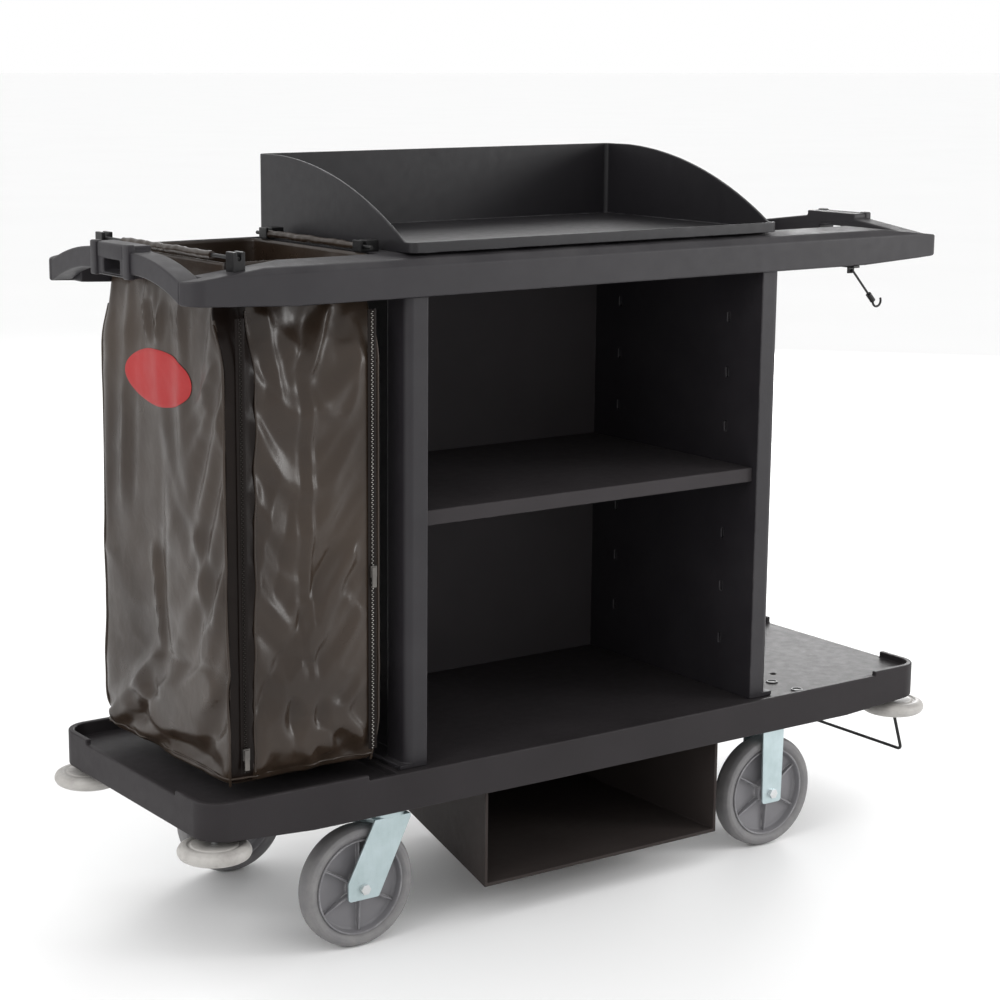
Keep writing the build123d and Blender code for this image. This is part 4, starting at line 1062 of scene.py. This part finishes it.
def clear_neighbours(shell):
    """Keeps the cloth inside the gap between the rails and off the deck and the cabinet."""
    left, right = BAG_LOW.x - 0.006, BAG_HIGH.x - 0.003
    for vertex in shell.data.vertices:
        place = vertex.co
        half = BAG_HIGH.y + 0.004
        if place.z > RAIL_BOTTOM - 0.006:
            half = RAIL_INNER - 0.003
        elif place.z > RAIL_BOTTOM - 0.03:
            share = (RAIL_BOTTOM - 0.006 - place.z) / 0.024
            half = RAIL_INNER - 0.003 + (BAG_HIGH.y - RAIL_INNER + 0.007) * share
        front = -half
        if near_zip(Vector((place.x, place.y))) > 0.5:
            front = max(front, -BAG_HIGH.y + 0.0005)
        place.y = min(half, max(front, place.y))
        place.x = min(right, max(left, place.x))
        place.z = max(BAG_LOW.z - 0.004, place.z)


def make_bag():
    """The laundry bag: a wrinkled shell with piping, a hem, zips and a blank patch."""
    shell = make_bag_shell()
    settle_cloth(shell)
    seams = []
    for column in (0, 3 * BAG_AROUND // 4, BAG_AROUND // 4, BAG_AROUND // 2):
        line = [
            shell.data.vertices[row * BAG_AROUND + column].co.copy()
            for row in range(0, BAG_ROWS - 6, 2)
        ]
        seams.append(tube_along(line, 0.0022, "piping"))
    bottom = [shell.data.vertices[BAG_AROUND + index].co.copy() for index in range(BAG_AROUND)]
    seams.append(tube_along([*bottom, bottom[0]], 0.002, "piping"))
    apply_modifier(shell, "SUBSURF", levels=1, render_levels=1)
    press_folds(shell)
    clear_neighbours(shell)
    surface = BVHTree.FromObject(shell, bpy.context.evaluated_depsgraph_get())
    line = []
    for step in range(GUSSET_STEPS + 1):
        height = BAG_LOW.z + 0.02 + (RAIL_BOTTOM - BAG_LOW.z - 0.03) * step / GUSSET_STEPS
        start = Vector((gusset_edge(height), -0.4, height))
        hit = surface.ray_cast(start, Vector((0, 1, 0)))[0]
        line.append((hit.x, hit.y - 0.0006, hit.z))
    seams.append(tube_along(line, 0.0018, "piping"))
    apply_modifier(shell, "SOLIDIFY", thickness=CLOTH_THICK, offset=-1)
    finish_piece(shell, "laundry_bag", "bag_vinyl", "frame", ("bag",), 180)
    # Front faces in the strip at the front left corner take the darker cloth, as painted shade.
    shell.data.materials.append(GUSSET_PAINTED_SHADE_CLOTH)
    for face in shell.data.polygons:
        spot = face.center
        if face.normal.y < -0.7 and GUSSET_LEFT < spot.x < gusset_edge(spot.z) and spot.y < -0.1:
            face.material_index = 1
    finish_piece(join_pieces(seams), "bag_piping", "bag_vinyl", "frame", (), 60)
    make_hem_sleeves()
    make_patch(surface)
    make_zips()


def make_hem_sleeves():
    """Cloth turned over each rod and sewn, loose and a little uneven along the rod."""
    sleeves = []
    for node in ("outer_bag_rod", "inner_bag_rod"):
        low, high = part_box(node)
        centre = (low + high) / 2
        line = []
        for step in range(25):
            y = SLEEVE_REACH * (step / 12 - 1)
            lift = noise.noise(Vector((y * 22, centre.x * 5, 1.3))) * 0.0012
            line.append((centre.x + lift, y, centre.z + lift * 0.6))
        sleeve = tube_along(line, (high.x - low.x) / 2 + 0.0032, "sleeve")
        for vertex in sleeve.data.vertices:
            place = vertex.co
            around = Vector((place.x - centre.x, 0, place.z - centre.z))
            vertex.co = place + around * noise.noise(place * 70) * 0.22
        sleeves.append(sleeve)
    finish_piece(join_pieces(sleeves), "bag_hem_sleeves", "bag_vinyl", "frame", (), 50)


def make_patch(surface):
    """A blank oval patch sewn on the bag's outer end."""
    centre_y, centre_z, wide = PATCH_Y, PATCH_Z, PATCH_WIDE
    high = 0.045
    rings, steps = 16, 72
    cage = bmesh.new()
    rows = []
    for ring in range(rings + 1):
        share = ring / rings
        row = []
        for step in range(steps):
            turn = 2 * math.pi * step / steps
            y = centre_y + wide * share * math.cos(turn)
            z = centre_z + high * share * math.sin(turn)
            hit = surface.ray_cast(Vector((BAG_LOW.x - 0.1, y, z)), Vector((1, 0, 0)))[0]
            edge = 0.0008 if share == 1 else 0.0022
            row.append(cage.verts.new((hit.x - edge, y, z)))
            if ring == 0:
                break
        rows.append(row)
    for step in range(steps):
        after = (step + 1) % steps
        cage.faces.new((rows[0][0], rows[1][step], rows[1][after]))
        for lower, upper in zip(rows[1:], rows[2:]):
            cage.faces.new((lower[step], upper[step], upper[after], lower[after]))
    mesh = bpy.data.meshes.new("patch")
    cage.normal_update()
    bmesh.ops.recalc_face_normals(cage, faces=cage.faces)
    cage.to_mesh(mesh)
    cage.free()
    patch = bpy.data.objects.new("patch", mesh)
    bpy.context.collection.objects.link(patch)
    make_active(patch)
    finish_piece(patch, "bag_patch", "bag_vinyl", "frame", (), 60)
    patch.data.materials.clear()
    patch.data.materials.append(PATCH_CLOTH)


TOOTH_PITCH = 0.0032
TAPE_NEAR, TAPE_FAR = 0.0006, 0.0078
TAPE_INSET = 0.0003
CORD_OFFSET = 0.0024
CORD_RADIUS = 0.0007


def make_zips():
    """Two zips: woven tapes with a raised edge, and two rows of interlocking teeth."""
    tape_low, tape_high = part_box("zip_tapes")
    tapes = []
    rows = (("corner_zip_slider", DARK_TEETH), ("front_zip_slider", BRIGHT_TEETH))
    for node, finish in rows:
        teeth = []
        low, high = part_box(node)
        middle = (low.x + high.x) / 2
        for side in (-1, 1):
            near, far = sorted((middle + side * TAPE_NEAR, middle + side * TAPE_FAR))
            low_corner = (near, tape_low.y + TAPE_INSET, tape_low.z)
            strip = add_block(low_corner, (far, tape_high.y, tape_high.z), 0.0004)
            tapes.append(strip)
            cord_x, cord_y = middle + side * CORD_OFFSET, tape_low.y + TAPE_INSET
            ends = ((cord_x, cord_y, tape_low.z), (cord_x, cord_y, tape_high.z))
            tapes.append(tube_along(ends, CORD_RADIUS, "zip_cord", False, 2))
        tooth = add_block((-0.0022, -0.0008, -0.0007), (0.0003, 0.0008, 0.0007), 0.0003, 1)
        count = int((tape_high.z - tape_low.z) / TOOTH_PITCH)
        for number in range(count):
            turn = Matrix.Rotation(math.pi if number % 2 else 0, 4, "Z")
            height = tape_low.z + TOOTH_PITCH * (number + 0.5)
            place = Matrix.Translation((middle, tape_low.y, height))
            teeth.append(copy_piece(tooth, place @ turn))
        bpy.data.objects.remove(tooth)
        closed = finish_piece(join_pieces(teeth), node + "_teeth", "zip_metal", "frame")
        closed.data.materials[0] = finish
    finish_piece(join_pieces(tapes), "zip_strips", "zip_tape", "frame", ("zip_tapes",))


# Everything together ------------------------------------------------------------------------

place_camera()
set_studio()
finish_cad_nodes()
make_hard_shell()
make_handle_cheeks()
make_deck_plugs()
make_wheels()
make_bumpers()
make_bag()
